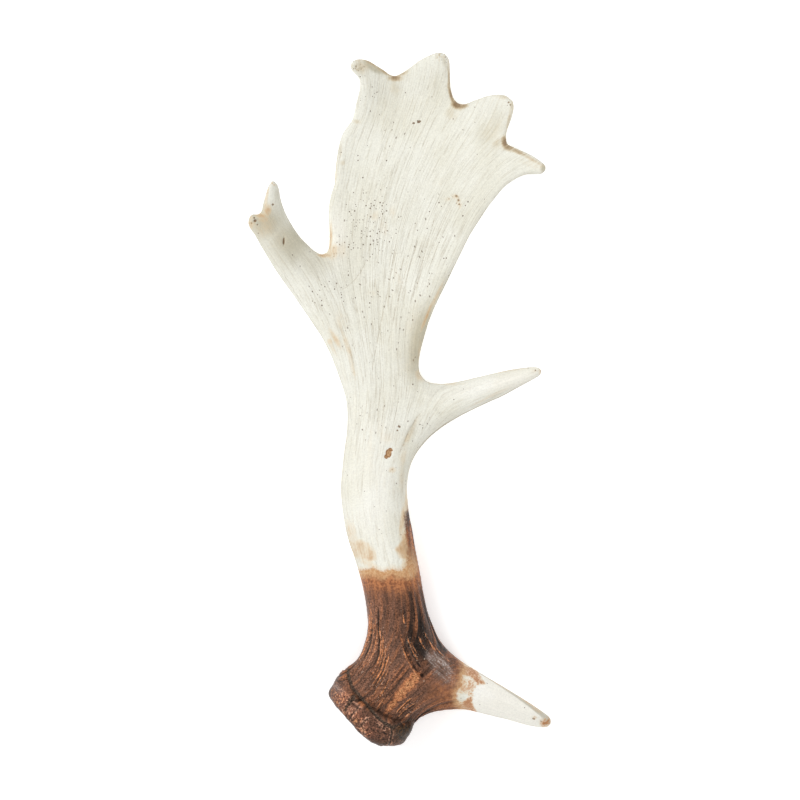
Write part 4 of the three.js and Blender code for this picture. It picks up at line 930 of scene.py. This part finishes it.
# from picture units at the floor to true places under the camera
k = (CAM - V[:, 2]) / CAM
V = np.stack([V[:, 0] * k + SHIFT[0], V[:, 1] * k + SHIFT[1], V[:, 2]], 1)
N = normals(V, T)
ATTR = np.stack([psi, brown, stain_and_shade, pit_dirt_and_shade, phase, furrow, np.clip(d_ridge, 0, 8), np.clip(d_furrow, 0, 8), np.clip(d_crack, 0, 8),
                 np.clip(d_band, 0, 8), pores, rough, dark_paint_and_shade, worn, painted_sheen, np.clip(pg, 0, 4), on_burr, dirt_and_painted_shade, chip, brow_side, clean_and_painted_light, painted_flank_shade, dash, plane], 1)
NAMES = ["psi", "brown", "stain_and_shade", "pit_dirt_and_shade", "phase", "furrow", "ridge_d", "furrow_d", "crack_d", "band_d", "pores", "rough", "dark_paint_and_shade", "worn", "painted_sheen", "pg", "burr", "dirt_and_painted_shade", "chip", "browside", "clean_and_painted_light", "painted_flank_shade", "dash", "plane"]


# ---- parting at the forks ----------------------------------------------------
# fork lines in plan, mm, with how far the branch reaches past them
def line(a, b, z):
    k_ = (CAM - z) / CAM
    return to_mm(np.array(a, float)) * k_ + SHIFT, to_mm(np.array(b, float)) * k_ + SHIFT


FORKS = [
    ("back_tine", line((278, 273.5), (317.5, 253.4), 33), 150, (14, 5.5)),
    ("middle_tine", line((425.5, 380.6), (435.5, 433), 29), 150, (16, 24)),
    ("brow_tine", line((456, 657.8), (436.5, 711), 31), 150, (22, 5)),
    ("palm", line((333.5, 362), (420, 354), 24), 330, (120, 160)),
    ("beam", line((360.2, 577), (419.8, 571), 32), 240, (120, 160)),
]


def compact(V, A, N, T, cap):
    used = np.unique(T)
    new = np.full(len(V), -1)
    new[used] = np.arange(len(used))
    return V[used], A[used], N[used], new[T], cap


def cut(V, A, N, T, cap, ends, reach, over):
    """parts a closed mesh at a vertical plane; both halves come back closed"""
    a, b = ends
    t = (b - a) / np.linalg.norm(b - a)
    n = np.array([-t[1], t[0]])
    length = np.linalg.norm(b - a)
    s_ = (V[:, :2] - a) @ t
    d = (V[:, :2] - a) @ n
    span = (s_ > -over[0]) & (s_ < length + over[1]) & (d < reach)
    small = span & (np.abs(d) < 0.2)
    push = np.where(d >= 0, 0.2, -0.2) - d
    V = V.copy()
    V[small, :2] += (push[:, None] * n)[small]
    d = np.where(small, np.where(d >= 0, 0.2, -0.2), d)
    out = span & (d > 0)
    o = out[T]
    cnt = o.sum(1)
    far, near, mixed = T[cnt == 3], T[cnt == 0], np.nonzero((cnt == 1) | (cnt == 2))[0]
    cap_far, cap_near = cap[cnt == 3], cap[cnt == 0]
    M, mo = T[mixed], o[mixed]
    lone = np.where(mo.sum(1) == 1, mo.argmax(1), (~mo).argmax(1))
    r = np.arange(len(M))
    p0, p1, p2 = M[r, lone], M[r, (lone + 1) % 3], M[r, (lone + 2) % 3]
    pairs = np.sort(np.concatenate([np.stack([p0, p1], 1), np.stack([p0, p2], 1)]), 1)
    uq, inv = np.unique(pairs, axis=0, return_inverse=True)
    inv = inv.ravel()
    w = d[uq[:, 0]] / (d[uq[:, 0]] - d[uq[:, 1]])
    mix = lambda X: X[uq[:, 0]] * (1 - w[:, None]) + X[uq[:, 1]] * w[:, None]
    base = len(V)
    V2, A2, N2 = np.concatenate([V, mix(V)]), np.concatenate([A, mix(A)]), np.concatenate([N, mix(N)])
    e1, e2 = base + inv[:len(M)], base + inv[len(M):]
    lone_far = out[p0]
    one = np.stack([p0, e1, e2], 1)
    two = np.concatenate([np.stack([e1, p1, p2], 1), np.stack([e1, p2, e2], 1)])
    lf2 = np.concatenate([lone_far, lone_far])
    # the wall edge of the lone corner's side runs e1 to e2; its cap runs back
    centre = mix(V).mean(0)
    ca = mix(A).mean(0)
    halves = []
    for is_far in (True, False):
        tris = [far if is_far else near, one[lone_far == is_far], two[lf2 != is_far]]
        caps = [cap_far if is_far else cap_near]
        side_e = np.concatenate([np.stack([e1, e2], 1)[lone_far == is_far], np.stack([e2, e1], 1)[lone_far != is_far]])
        c_id = len(V2)
        fan_ = np.stack([side_e[:, 1], side_e[:, 0], np.full(len(side_e), c_id)], 1)
        Tn = np.concatenate(tris + [fan_])
        cp = np.zeros(len(Tn), int)
        cp[:len(caps[0])] = caps[0]
        cp[len(Tn) - len(fan_):] = 1
        Vn = np.concatenate([V2, centre[None]])
        An = np.concatenate([A2, ca[None]])
        Nn = np.concatenate([N2, np.array([[0, 0, 1.0]])])
        halves.append(compact(Vn, An, Nn, Tn, cp))
    return halves


# an edge that more than two triangles share is drawn together to a point
E_ = np.sort(np.concatenate([T[:, [0, 1]], T[:, [1, 2]], T[:, [2, 0]]]).astype(np.int64), 1)
uq_, cnt_ = np.unique(E_[:, 0] * len(V) + E_[:, 1], return_counts=True)
for e_ in uq_[cnt_ > 2]:
    T = np.where(T == e_ % len(V), e_ // len(V), T)
T = T[(T[:, 0] != T[:, 1]) & (T[:, 1] != T[:, 2]) & (T[:, 2] != T[:, 0])]

PARTS = {}
rest_mesh = (V, ATTR, N, T, np.zeros(len(T), int))
for name, ends, reach, over in FORKS:
    branch, rest_mesh = cut(*rest_mesh, ends, reach, over)
    PARTS[name] = branch
PARTS["burr_base"] = rest_mesh


MOST = 194000    # triangles in one piece


def thin(me, N_, cap):
    """fewer, larger triangles on the smooth underside, until the piece is within MOST"""
    for i, n_ in enumerate(("nx", "ny", "nz")):
        me.attributes.new(n_, "FLOAT", "POINT").data.foreach_set("value", N_[:, i].astype(np.float32))
    me.attributes.new("cap", "INT", "FACE").data.foreach_set("value", cap.astype(np.int32))
    ob = bpy.data.objects.new("thin", me)
    bpy.context.scene.collection.objects.link(ob)
    under = ob.vertex_groups.new(name="under")
    under.add(np.nonzero(N_[:, 2] < -0.42)[0].tolist(), 1.0, "REPLACE")
    md = ob.modifiers.new("thin", "DECIMATE")
    md.ratio = MOST / len(me.polygons)
    md.vertex_group = "under"
    dg = bpy.context.evaluated_depsgraph_get()
    out = bpy.data.meshes.new_from_object(ob.evaluated_get(dg), preserve_all_data_layers=True, depsgraph=dg)
    bpy.data.objects.remove(ob)
    nv, nf = len(out.vertices), len(out.polygons)
    V2, N2, T2, c2 = np.zeros(nv * 3, np.float32), np.zeros((nv, 3)), np.zeros(nf * 3, np.int32), np.zeros(nf, np.int32)
    out.vertices.foreach_get("co", V2)
    out.loops.foreach_get("vertex_index", T2)
    for i, n_ in enumerate(("nx", "ny", "nz")):
        col_ = np.zeros(nv, np.float32)
        out.attributes[n_].data.foreach_get("value", col_)
        N2[:, i] = col_
    out.attributes["cap"].data.foreach_get("value", c2)
    for n_ in ("nx", "ny", "nz", "cap"):
        out.attributes.remove(out.attributes[n_])
    return out, V2.reshape(-1, 3).astype(float) * 1000.0, N2, T2.reshape(-1, 3), c2


def make_object(name, data):
    V_, A_, N_, T_, cap = data
    me = bpy.data.meshes.new(name)
    me.vertices.add(len(V_))
    me.vertices.foreach_set("co", (V_ / 1000.0).astype(np.float32).ravel())
    me.loops.add(len(T_) * 3)
    me.loops.foreach_set("vertex_index", T_.astype(np.int32).ravel())
    me.polygons.add(len(T_))
    me.polygons.foreach_set("loop_start", (np.arange(len(T_)) * 3).astype(np.int32))
    me.polygons.foreach_set("use_smooth", np.ones(len(T_), bool))
    me.update(calc_edges=True)
    for i, n_ in enumerate(NAMES):
        at = me.attributes.new(n_, "FLOAT", "POINT")
        at.data.foreach_set("value", A_[:, i].astype(np.float32))
    if len(T_) > MOST:
        me, V_, N_, T_, cap = thin(me, N_, cap)
        me.name = name
    ln = N_[T_].reshape(-1, 3)
    if cap.any():
        fn = np.cross(V_[T_[:, 1]] - V_[T_[:, 0]], V_[T_[:, 2]] - V_[T_[:, 0]])
        fn /= np.maximum(np.linalg.norm(fn, axis=1, keepdims=True), 1e-12)
        ln = np.where(np.repeat(cap, 3)[:, None] > 0, np.repeat(fn, 3, 0), ln)
    ln = ln / np.maximum(np.linalg.norm(ln, axis=1, keepdims=True), 1e-9)
    me.normals_split_custom_set([tuple(v) for v in ln])
    me.validate()
    ob = bpy.data.objects.new(name, me)
    bpy.context.scene.collection.objects.link(ob)
    return ob


# ---- the surface's looks -----------------------------------------------------
def lin(r, g, b):
    f = lambda c: c / 12.92 if c <= 0.04045 else ((c + 0.055) / 1.055) ** 2.4
    return (f(r / 255), f(g / 255), f(b / 255), 1.0)


class Graph:
    """short names for the shader nodes used here"""

    def __init__(self, name):
        self.mat = bpy.data.materials.new(name)
        self.mat.use_nodes = True
        self.t = self.mat.node_tree
        self.t.nodes.clear()

    def new(self, kind, **kw):
        n = self.t.nodes.new(kind)
        for k_, v in kw.items():
            setattr(n, k_, v)
        return n

    def put(self, sock, v):
        if isinstance(v, (int, float)):
            sock.default_value = v
        elif isinstance(v, tuple):
            sock.default_value = v
        else:
            self.t.links.new(v, sock)

    def attr(self, name):
        return self.new("ShaderNodeAttribute", attribute_type="GEOMETRY", attribute_name=name).outputs["Fac"]

    def m(self, op, a, b=0.0, c=0.0, clamp=False):
        n = self.new("ShaderNodeMath", operation=op, use_clamp=clamp)
        for s_, v in zip(n.inputs, (a, b, c)):
            self.put(s_, v)
        return n.outputs[0]

    def ramp(self, x, a, b, lo=0.0, hi=1.0, kind="SMOOTHSTEP"):
        n = self.new("ShaderNodeMapRange", interpolation_type=kind, clamp=True)
        for key, v in (("Value", x), ("From Min", a), ("From Max", b), ("To Min", lo), ("To Max", hi)):
            self.put(n.inputs[key], v)
        return n.outputs["Result"]

    def vec(self, x, y, z):
        n = self.new("ShaderNodeCombineXYZ")
        for s_, v in zip(n.inputs, (x, y, z)):
            self.put(s_, v)
        return n.outputs[0]

    def noise(self, v, scale, detail=2.0, rough_=0.5, dist=0.0):
        n = self.new("ShaderNodeTexNoise", noise_dimensions="3D")
        self.put(n.inputs["Vector"], v)
        n.inputs["Scale"].default_value = scale
        n.inputs["Detail"].default_value = detail
        n.inputs["Roughness"].default_value = rough_
        n.inputs["Distortion"].default_value = dist
        return n.outputs["Fac"]

    def cells(self, v, scale):
        n = self.new("ShaderNodeTexVoronoi", voronoi_dimensions="3D", feature="F1")
        self.put(n.inputs["Vector"], v)
        n.inputs["Scale"].default_value = scale
        sep = self.new("ShaderNodeSeparateColor")
        self.t.links.new(n.outputs["Color"], sep.inputs[0])
        return n.outputs["Distance"], sep.outputs[0], sep.outputs[1]

    def mix(self, f, a, b):
        n = self.new("ShaderNodeMix", data_type="RGBA", blend_type="MIX", clamp_factor=True)
        self.put(n.inputs[0], f)
        self.put(n.inputs[6], a)
        self.put(n.inputs[7], b)
        return n.outputs[2]

    def times(self, a, b, f=1.0):
        n = self.new("ShaderNodeMix", data_type="RGBA", blend_type="MULTIPLY", clamp_factor=True)
        self.put(n.inputs[0], f)
        self.put(n.inputs[6], a)
        self.put(n.inputs[7], b)
        return n.outputs[2]


def antler_material(name):
    g = Graph(name)
    at = {k_: g.attr(k_) for k_ in NAMES}
    pos = g.new("ShaderNodeTexCoord").outputs["Object"]
    sep = g.new("ShaderNodeSeparateXYZ")
    g.t.links.new(pos, sep.inputs[0])
    x, y, z = sep.outputs
    M = lambda a, b: g.m("MULTIPLY", a, b)
    A = lambda a, b: g.m("ADD", a, b)
    less = lambda a, b: g.m("SUBTRACT", a, b)
    off = lambda n, k_: M(less(n, 0.5), k_)
    inv = lambda a: less(1.0, a)

    def fibre(f, seed, along=17.0, detail=3.0, rough_=0.6):
        """noise drawn out along the fibres"""
        return g.noise(g.vec(A(M(at["psi"], f), seed), M(y, along), M(x, along)), 1.0, detail, rough_)

    # three finenesses of fibre; each is used where it comes out about a millimetre wide
    wa, wb = g.ramp(at["pg"], 0.50, 0.85), g.ramp(at["pg"], 0.18, 0.34)

    def woven(k_, seed, along, detail, rough_=0.6):
        n1, n2, n3 = (fibre(f * k_, seed, along, detail, rough_) for f in (0.42, 1.05, 2.7))
        lo_ = g.m("MULTIPLY_ADD", less(n2, n3), wb, n3)
        return g.m("MULTIPLY_ADD", less(n1, lo_), wa, lo_)

    strand = woven(1.0, 3.0, 14.0, 4.0, 0.70)
    streak = woven(1.1, 23.0, 7.0, 1.5, 0.5)
    hair = woven(1.9, 11.0, 44.0, 4.0, 0.72)
    hairline = M(g.ramp(g.m("ABSOLUTE", less(strand, 0.5)), 0.030, 0.004), g.ramp(hair, 0.44, 0.56))
    mott = g.noise(pos, 20.0, 3.0, 0.55)
    blot = g.noise(pos, 75.0, 4.0, 0.6)
    grain = g.noise(pos, 460.0, 3.0, 0.62)
    speck = g.noise(pos, 1100.0, 2.0, 0.6)
    grit = g.noise(pos, 640.0, 2.0, 0.65)

    tone = g.vec(*[A(1.0, A(A(off(grain, 0.14), off(grit, 0.26)), A(off(speck, 0.20), off(hair, 0.22))))] * 3)
    # ivory
    c = g.mix(g.ramp(mott, 0.36, 0.66), lin(240, 239, 228), lin(234, 232, 218))
    c = g.mix(M(g.ramp(strand, 0.52, 0.70), 0.22), c, lin(217, 210, 190))
    c = g.mix(M(g.ramp(hair, 0.53, 0.63), g.m("MULTIPLY_ADD", at["dash"], 0.22, 0.28)), c, lin(206, 198, 176))
    c = g.mix(M(hairline, 0.26), c, lin(182, 168, 142))
    thread = M(g.ramp(g.m("ABSOLUTE", less(streak, 0.53)), 0.014, 0.003), g.ramp(hair, 0.40, 0.52, 0.45, 1.0))
    c = g.mix(M(thread, g.m("MULTIPLY_ADD", at["dash"], 0.38, 0.24)), c, lin(172, 156, 128))
    # dirt and painted shade on the ivory
    c = g.mix(M(g.ramp(A(at["dirt_and_painted_shade"], off(mott, 0.5)), 0.02, 0.95), 0.85), c, lin(193, 186, 163))
    c = g.mix(M(g.ramp(grain, 0.55, 0.75), 0.20), c, lin(212, 206, 190))
    # painted light: whiter where light falls on the tines and beam
    c = g.mix(at["clean_and_painted_light"], c, g.mix(g.ramp(mott, 0.4, 0.6), lin(254, 252, 245), lin(251, 248, 238)))
    # painted shade on steep sides
    c = g.mix(M(at["painted_flank_shade"], 0.42), c, lin(172, 164, 142))
    c = g.times(c, tone)
    # pores
    pv = g.vec(x, M(y, 0.85), z)
    d1, r1, q1 = g.cells(pv, 480.0)
    dense = M(at["pores"], at["pores"])
    dot1 = M(g.ramp(g.m("DIVIDE", d1, g.m("MULTIPLY_ADD", q1, 0.9, 0.5)), 0.25, 0.14), g.m("LESS_THAN", r1, M(dense, M(1.45, g.ramp(blot, 0.38, 0.56, 0.35, 1.0)))))
    d2, r2, q2 = g.cells(pv, 190.0)
    dot2 = M(g.ramp(g.m("DIVIDE", d2, g.m("MULTIPLY_ADD", M(q2, q2), 0.050, 0.034)), 1.15, 0.80), g.m("LESS_THAN", r2, M(dense, 0.32)))
    d4, r4, q4 = g.cells(g.vec(M(at["psi"], g.m("MULTIPLY_ADD", inv(wb), 1.1, 0.9)), M(y, 210.0), M(x, 210.0)), 1.0)
    dash = M(g.ramp(g.m("DIVIDE", d4, g.m("MULTIPLY_ADD", q4, 0.8, 0.5)), 0.26, 0.12), g.m("LESS_THAN", r4, M(at["dash"], 0.50)))
    dots = g.m("MAXIMUM", g.m("MAXIMUM", M(dot1, 1.0), M(dash, 0.70)), dot2)
    c = g.mix(M(dots, 0.92), c, lin(96, 64, 38))
    # dirt and painted shade in cracks and pits; brown stain, on rim walls partly painted shade
    crack = g.ramp(A(at["crack_d"], off(grain, 0.7)), 0.95, 0.35)
    crack = M(crack, g.ramp(g.m("ABSOLUTE", off(hair, 1.0)), 0.16, 0.0, 0.45, 1.0))
    crack = M(crack, g.ramp(A(grain, off(strand, 0.5)), 0.40, 0.56))
    c = g.mix(M(crack, 0.40), c, lin(166, 146, 116))
    c = g.mix(M(g.ramp(A(at["pit_dirt_and_shade"], off(speck, 0.3)), 0.28, 0.58), 0.9), c, lin(128, 102, 76))
    ragged = A(off(blot, 0.8), A(A(off(grain, 0.5), M(A(off(grain, 1.7), off(speck, 1.2)), at["browside"])), off(strand, 1.1)))
    st = A(at["stain_and_shade"], ragged)
    soft = g.ramp(at["stain_and_shade"], 0.0, 0.35)
    tops = g.ramp(y, 0.19, 0.215)
    c = g.mix(M(M(g.ramp(st, -0.15, 0.60), soft), 0.55), c, g.mix(tops, lin(226, 201, 162), lin(214, 200, 170)))
    c = g.mix(M(M(g.ramp(st, 0.35, 0.95), soft), 0.74), c, g.mix(tops, g.mix(at["browside"], lin(200, 157, 109), lin(206, 146, 98)), lin(180, 154, 116)))
    c = g.mix(M(M(g.ramp(st, 0.80, 1.25), soft), 0.55), c, g.mix(tops, g.mix(at["browside"], lin(148, 104, 68), lin(166, 101, 60)), lin(116, 84, 56)))
    flake = g.ramp(A(at["chip"], A(off(grain, 0.9), off(blot, 0.7))), 0.36, 0.50)
    c = g.mix(flake, c, g.mix(g.ramp(grain, 0.4, 0.6), lin(196, 158, 118), lin(150, 110, 76)))
    ivory = c

    # brown
    wave = g.m("COSINE", M(at["phase"], 6.2832))
    crest = M(g.ramp(A(wave, off(hair, 1.3)), 0.35, 0.85), at["furrow"])
    trough = M(g.ramp(A(wave, off(hair, 1.1)), -0.15, -0.75), at["furrow"])
    near_r = g.ramp(A(at["ridge_d"], off(hair, 1.6)), 0.85, 0.25)
    near_f = g.ramp(A(at["furrow_d"], off(hair, 1.8)), 1.55, 0.45)
    b = g.mix(g.ramp(A(mott, off(hair, 0.7)), 0.32, 0.68), lin(113, 81, 65), lin(147, 102, 79))
    b = g.mix(M(g.ramp(strand, 0.52, 0.66), 0.55), b, lin(68, 52, 43))
    b = g.mix(M(g.ramp(hair, 0.53, 0.63), 0.55), b, lin(158, 101, 66))
    b = g.mix(M(g.ramp(hair, 0.46, 0.38), 0.50), b, lin(60, 44, 34))
    wave2 = g.m("COSINE", A(M(at["phase"], 15.7), off(mott, 9.0)))
    b = g.mix(M(M(g.ramp(A(wave2, off(hair, 2.2)), 0.45, 0.95), at["furrow"]), 0.55), b, lin(160, 98, 62))
    b = g.mix(M(M(g.ramp(A(wave2, off(hair, 2.2)), -0.45, -0.95), at["furrow"]), 0.60), b, lin(56, 42, 33))
    # painted shade, with some darker paint, on the foot's far side and in its hollows
    b = g.mix(M(at["dark_paint_and_shade"], 0.88), b, g.mix(g.ramp(hair, 0.52, 0.62), lin(31, 22, 16), lin(76, 48, 32)))
    b = g.mix(M(trough, 0.80), b, lin(52, 39, 31))
    b = g.mix(M(near_f, 0.85), b, lin(48, 37, 30))
    b = g.mix(M(crest, 0.66), b, lin(180, 114, 74))
    b = g.mix(M(near_r, g.ramp(A(strand, off(grain, 0.9)), 0.38, 0.60, 0.30, 0.95)), b, lin(216, 140, 90))
    wv = A(at["worn"], A(off(grain, 1.0), off(hair, 0.6)))
    b = g.mix(M(g.ramp(wv, 0.30, 0.70), 0.82), b, lin(190, 122, 80))
    b = g.mix(M(M(g.ramp(wv, 0.65, 1.05), g.ramp(speck, 0.45, 0.58)), 0.6), b, lin(212, 160, 112))
    # the burr: speckled, mottled paint
    cluster = g.ramp(A(blot, off(mott, 0.8)), 0.47, 0.60)
    ring_ = g.mix(g.ramp(A(blot, A(off(mott, 0.7), off(grain, 0.35))), 0.38, 0.64), lin(102, 71, 56), lin(150, 99, 77))
    # the burr's lighter facets, partly painted highlight
    ring_ = g.mix(M(g.ramp(A(at["plane"], off(blot, 0.9)), 0.26, 0.62), 0.86), ring_, g.mix(g.ramp(grain, 0.40, 0.62), lin(150, 97, 75), lin(208, 158, 132)))
    ring_ = g.mix(M(g.ramp(A(wv, off(blot, 0.8)), 0.40, 0.62), 0.72), ring_, g.mix(g.ramp(grain, 0.42, 0.56), lin(134, 86, 62), lin(204, 144, 100)))
    ring_ = g.mix(M(M(g.ramp(A(grit, off(grain, 0.8)), 0.59, 0.67), cluster), 0.82), ring_, lin(222, 154, 106))
    ring_ = g.mix(M(g.ramp(A(grit, off(grain, 0.8)), 0.41, 0.31), 0.58), ring_, lin(48, 35, 28))
    # painted highlight: pale lit edges beside the burr's splits, on their left side only
    painted_lip_light = M(g.ramp(at["band_d"], 0.9, 1.5), g.ramp(at["band_d"], 2.9, 2.0))
    ring_ = g.mix(M(M(M(painted_lip_light, g.ramp(A(grain, off(blot, 0.8)), 0.44, 0.58)), g.ramp(x, 0.012, -0.006)), 0.72), ring_, lin(206, 156, 130))
    # painted shade on the burr's far lobe and steep sides
    ring_ = g.mix(M(at["dark_paint_and_shade"], 0.88), ring_, g.mix(g.ramp(grain, 0.45, 0.6), lin(47, 33, 19), lin(88, 63, 39)))
    b = g.mix(g.ramp(at["burr"], 0.15, 0.6), b, ring_)
    # dirt and painted shade in the burr's grooves, splits and pits
    b = g.mix(M(g.ramp(A(at["band_d"], off(grain, 1.2)), 1.6, 0.3), 0.88), b, g.mix(g.ramp(speck, 0.45, 0.58), lin(50, 42, 36), lin(92, 78, 66)))
    b = g.mix(M(g.ramp(A(at["pit_dirt_and_shade"], off(speck, 0.3)), 0.28, 0.58), 0.9), b, lin(44, 34, 29))
    # grain of the paint, and painted glints of light along the raised fibres
    calm = g.ramp(at["burr"], 0.2, 0.8, 1.0, 0.55)
    gt = A(1.0, A(M(A(off(grain, 1.0), off(strand, 0.8)), calm), A(M(off(grit, 3.0), g.m("MULTIPLY_ADD", g.m("MAXIMUM", at["furrow"], at["burr"]), 0.40, 0.86)), off(speck, 2.4))))
    b = g.times(b, g.vec(gt, gt, gt))
    # painted highlight: the shine beside the brow tine, in streaks that run towards its tip
    across_ = A(M(x, 0.64), M(y, 0.77))
    along_ = less(M(x, 0.77), M(y, 0.64))
    gleam = g.noise(g.vec(M(across_, 420.0), M(along_, 48.0), 4.0), 1.0, 4.0, 0.6)
    b = g.mix(M(g.ramp(at["painted_sheen"], 0.06, 0.55), 0.45), b, lin(110, 87, 76))
    b = g.mix(M(g.ramp(at["painted_sheen"], 0.05, 0.95), g.ramp(A(gleam, off(grain, 0.3)), 0.30, 0.55, 0.40, 0.95)), b, g.mix(g.ramp(A(gleam, A(off(grit, 0.9), off(speck, 0.5))), 0.48, 0.68), lin(136, 115, 104), lin(210, 198, 192)))
    b = g.mix(M(g.ramp(at["painted_sheen"], 0.02, 0.5), g.ramp(gleam, 0.42, 0.32, 0.0, 0.8)), b, lin(66, 54, 47))
    painted_glint = M(g.ramp(A(speck, off(grain, 0.5)), 0.62, 0.70), g.ramp(at["ridge_d"], 3.0, 0.8))
    b = g.mix(M(painted_glint, 0.55), b, lin(226, 204, 184))
    # stray pale flecks, partly painted sparkles of light
    d3, r3, q3 = g.cells(pos, 150.0)
    fleck_and_sparkle = M(g.ramp(d3, 0.16, 0.08), g.m("LESS_THAN", r3, 0.035))
    b = g.mix(M(fleck_and_sparkle, 0.7), b, lin(214, 196, 176))

    # the ragged border between them
    edge = A(off(strand, 4.0), A(off(blot, 5.0), A(off(grain, 3.2), off(speck, 2.0))))
    e1 = A(at["brown"], edge)
    fac = g.ramp(e1, -1.4, 1.4)
    reach = g.m("MULTIPLY_ADD", at["browside"], 7.5, M(at["brown"], 0.72))       # the brow tine's border is narrower
    past = inv(M(g.ramp(y, -0.150, -0.122), g.ramp(x, -0.004, 0.006)))
    warm = M(g.ramp(A(reach, M(A(A(off(blot, 11.0), off(strand, 13.0)), A(off(grain, 8.0), off(speck, 5.0))), g.ramp(at["browside"], 0.0, 1.0, 1.0, 0.5))), 17.5, 6.0), past)
    sandy = g.mix(g.ramp(A(M(grain, 0.6), M(speck, 0.4)), 0.40, 0.62), lin(228, 190, 144), lin(206, 152, 104))
    sandy = g.mix(g.ramp(A(g.m("MULTIPLY_ADD", at["browside"], -6.0, reach), off(blot, 5.0)), 2.0, 7.5), sandy, g.mix(g.ramp(A(grain, off(strand, 0.8)), 0.40, 0.60), lin(196, 129, 84), lin(148, 93, 61)))
    warm2 = M(g.ramp(A(reach, A(A(off(blot, 10.0), off(strand, 10.0)), off(grain, 5.0))), 25.0, 8.0), g.ramp(at["dark_paint_and_shade"], 0.9, 0.2))
    b2 = g.mix(M(warm2, 0.55), b, g.mix(g.ramp(A(grain, off(strand, 0.8)), 0.42, 0.60), lin(160, 105, 72), lin(116, 75, 54)))
    b2 = g.mix(M(warm, 0.88), b2, sandy)
    halo = M(M(g.ramp(A(at["brown"], A(edge, off(blot, 4.0))), -5.0, 0.5), 0.45), inv(fac))
    ivory = g.mix(halo, ivory, lin(226, 202, 166))
    col = g.mix(fac, ivory, b2)

    bs = g.new("ShaderNodeBsdfPrincipled")
    g.t.links.new(col, bs.inputs["Base Color"])
    ro = A(g.m("MULTIPLY_ADD", fac, -0.19, 0.60), A(off(grain, 0.28), M(at["painted_sheen"], -0.10)))
    g.t.links.new(ro, bs.inputs["Roughness"])
    bs.inputs["Specular IOR Level"].default_value = 0.14
    # fine relief that the mesh is too coarse for, in units of 0.4 mm
    fine = A(off(hair, 1.3), A(off(strand, 0.8), A(off(grain, 0.55), off(speck, 0.30))))
    fine = less(fine, A(M(hairline, 0.25), M(thread, 0.35)))
    coarse = A(off(hair, 2.4), A(off(strand, 1.6), A(off(grain, 2.2), A(A(off(speck, 1.4), off(grit, 1.6)), M(near_r, 0.5)))))
    coarse = A(coarse, M(A(off(grain, 1.6), off(blot, 3.0)), at["burr"]))
    hgt = g.m("MULTIPLY_ADD", less(coarse, fine), fac, fine)
    hgt = less(hgt, M(dots, 1.1))
    hgt = less(hgt, M(crack, 0.5))
    hgt = A(hgt, M(off(grain, 2.5), at["rough"]))
    bump = g.new("ShaderNodeBump")
    bump.inputs["Strength"].default_value = 0.75
    bump.inputs["Distance"].default_value = 0.0004
    g.t.links.new(hgt, bump.inputs["Height"])
    g.t.links.new(bump.outputs[0], bs.inputs["Normal"])
    out = g.new("ShaderNodeOutputMaterial")
    g.t.links.new(bs.outputs[0], out.inputs["Surface"])
    return g.mat


MATS = {"antler_ivory": antler_material("antler_ivory"), "antler_brown": antler_material("antler_brown")}
for name, data in PARTS.items():
    ob = make_object("look_" + name, data)
    slot = "antler_brown" if name == "burr_base" else "antler_ivory"
    ob.data.materials.append(MATS[slot])
    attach(ob, "root")
    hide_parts(name)


# ---- floor, light and camera ---------------------------------------------------
def plain(name, colour, glow):
    m_ = bpy.data.materials.new(name)
    m_.use_nodes = True
    p = m_.node_tree.nodes["Principled BSDF"]
    p.inputs["Base Color"].default_value = colour
    p.inputs["Roughness"].default_value = 0.9
    p.inputs["Specular IOR Level"].default_value = 0.1
    p.inputs["Emission Color"].default_value = (1, 1, 1, 1)
    p.inputs["Emission Strength"].default_value = glow
    return m_


fm = bpy.data.meshes.new("floor")
R_ = 6.0
fm.from_pydata([(-R_, -R_, 0), (R_, -R_, 0), (R_, R_, 0), (-R_, R_, 0)], [], [(0, 1, 2, 3)])
fm.update()
floor = bpy.data.objects.new("floor", fm)
floor.location = (0, 0, -0.0005)
bpy.context.scene.collection.objects.link(floor)
fm.materials.append(plain("lit_table", (0.93, 0.93, 0.93, 1), 0.38))


def area(name, at, target, size, watts, colour=(1, 1, 1)):
    li = bpy.data.lights.new(name, "AREA")
    li.shape = "DISK"
    li.size = size
    li.energy = watts
    li.color = colour
    ob = bpy.data.objects.new(name, li)
    ob.location = at
    ob.rotation_euler = (Vector(target) - Vector(at)).to_track_quat("-Z", "Y").to_euler()
    bpy.context.scene.collection.objects.link(ob)
    return ob


area("key", (-1.25, 0.75, 2.25), (0, -0.05, 0.03), 1.3, 25.5)
area("overhead", (0.3, -0.5, 3.7), (0, 0, 0.03), 2.6, 41)
w_ = bpy.data.worlds.new("room")
bpy.context.scene.world = w_
w_.use_nodes = True
bg = w_.node_tree.nodes["Background"]
bg.inputs["Color"].default_value = (1, 1, 1, 1)
bg.inputs["Strength"].default_value = 0.50

cam = bpy.data.cameras.new("camera")
cam.type = "PERSP"
cam.sensor_fit = "HORIZONTAL"
cam.sensor_width = 36.0
cam.lens = 36.0 * CAM / (800 * S)
cam.clip_start, cam.clip_end = 0.05, 50
cam_ob = bpy.data.objects.new("camera", cam)
cam_ob.location = (SHIFT[0] / 1000, SHIFT[1] / 1000, CAM / 1000)
cam_ob.rotation_euler = (0, 0, 0)
bpy.context.scene.collection.objects.link(cam_ob)
bpy.context.scene.camera = cam_ob
bpy.context.scene.view_settings.view_transform = "Standard"
bpy.context.scene.view_settings.look = "None"
bpy.context.scene.view_settings.exposure = 0.0
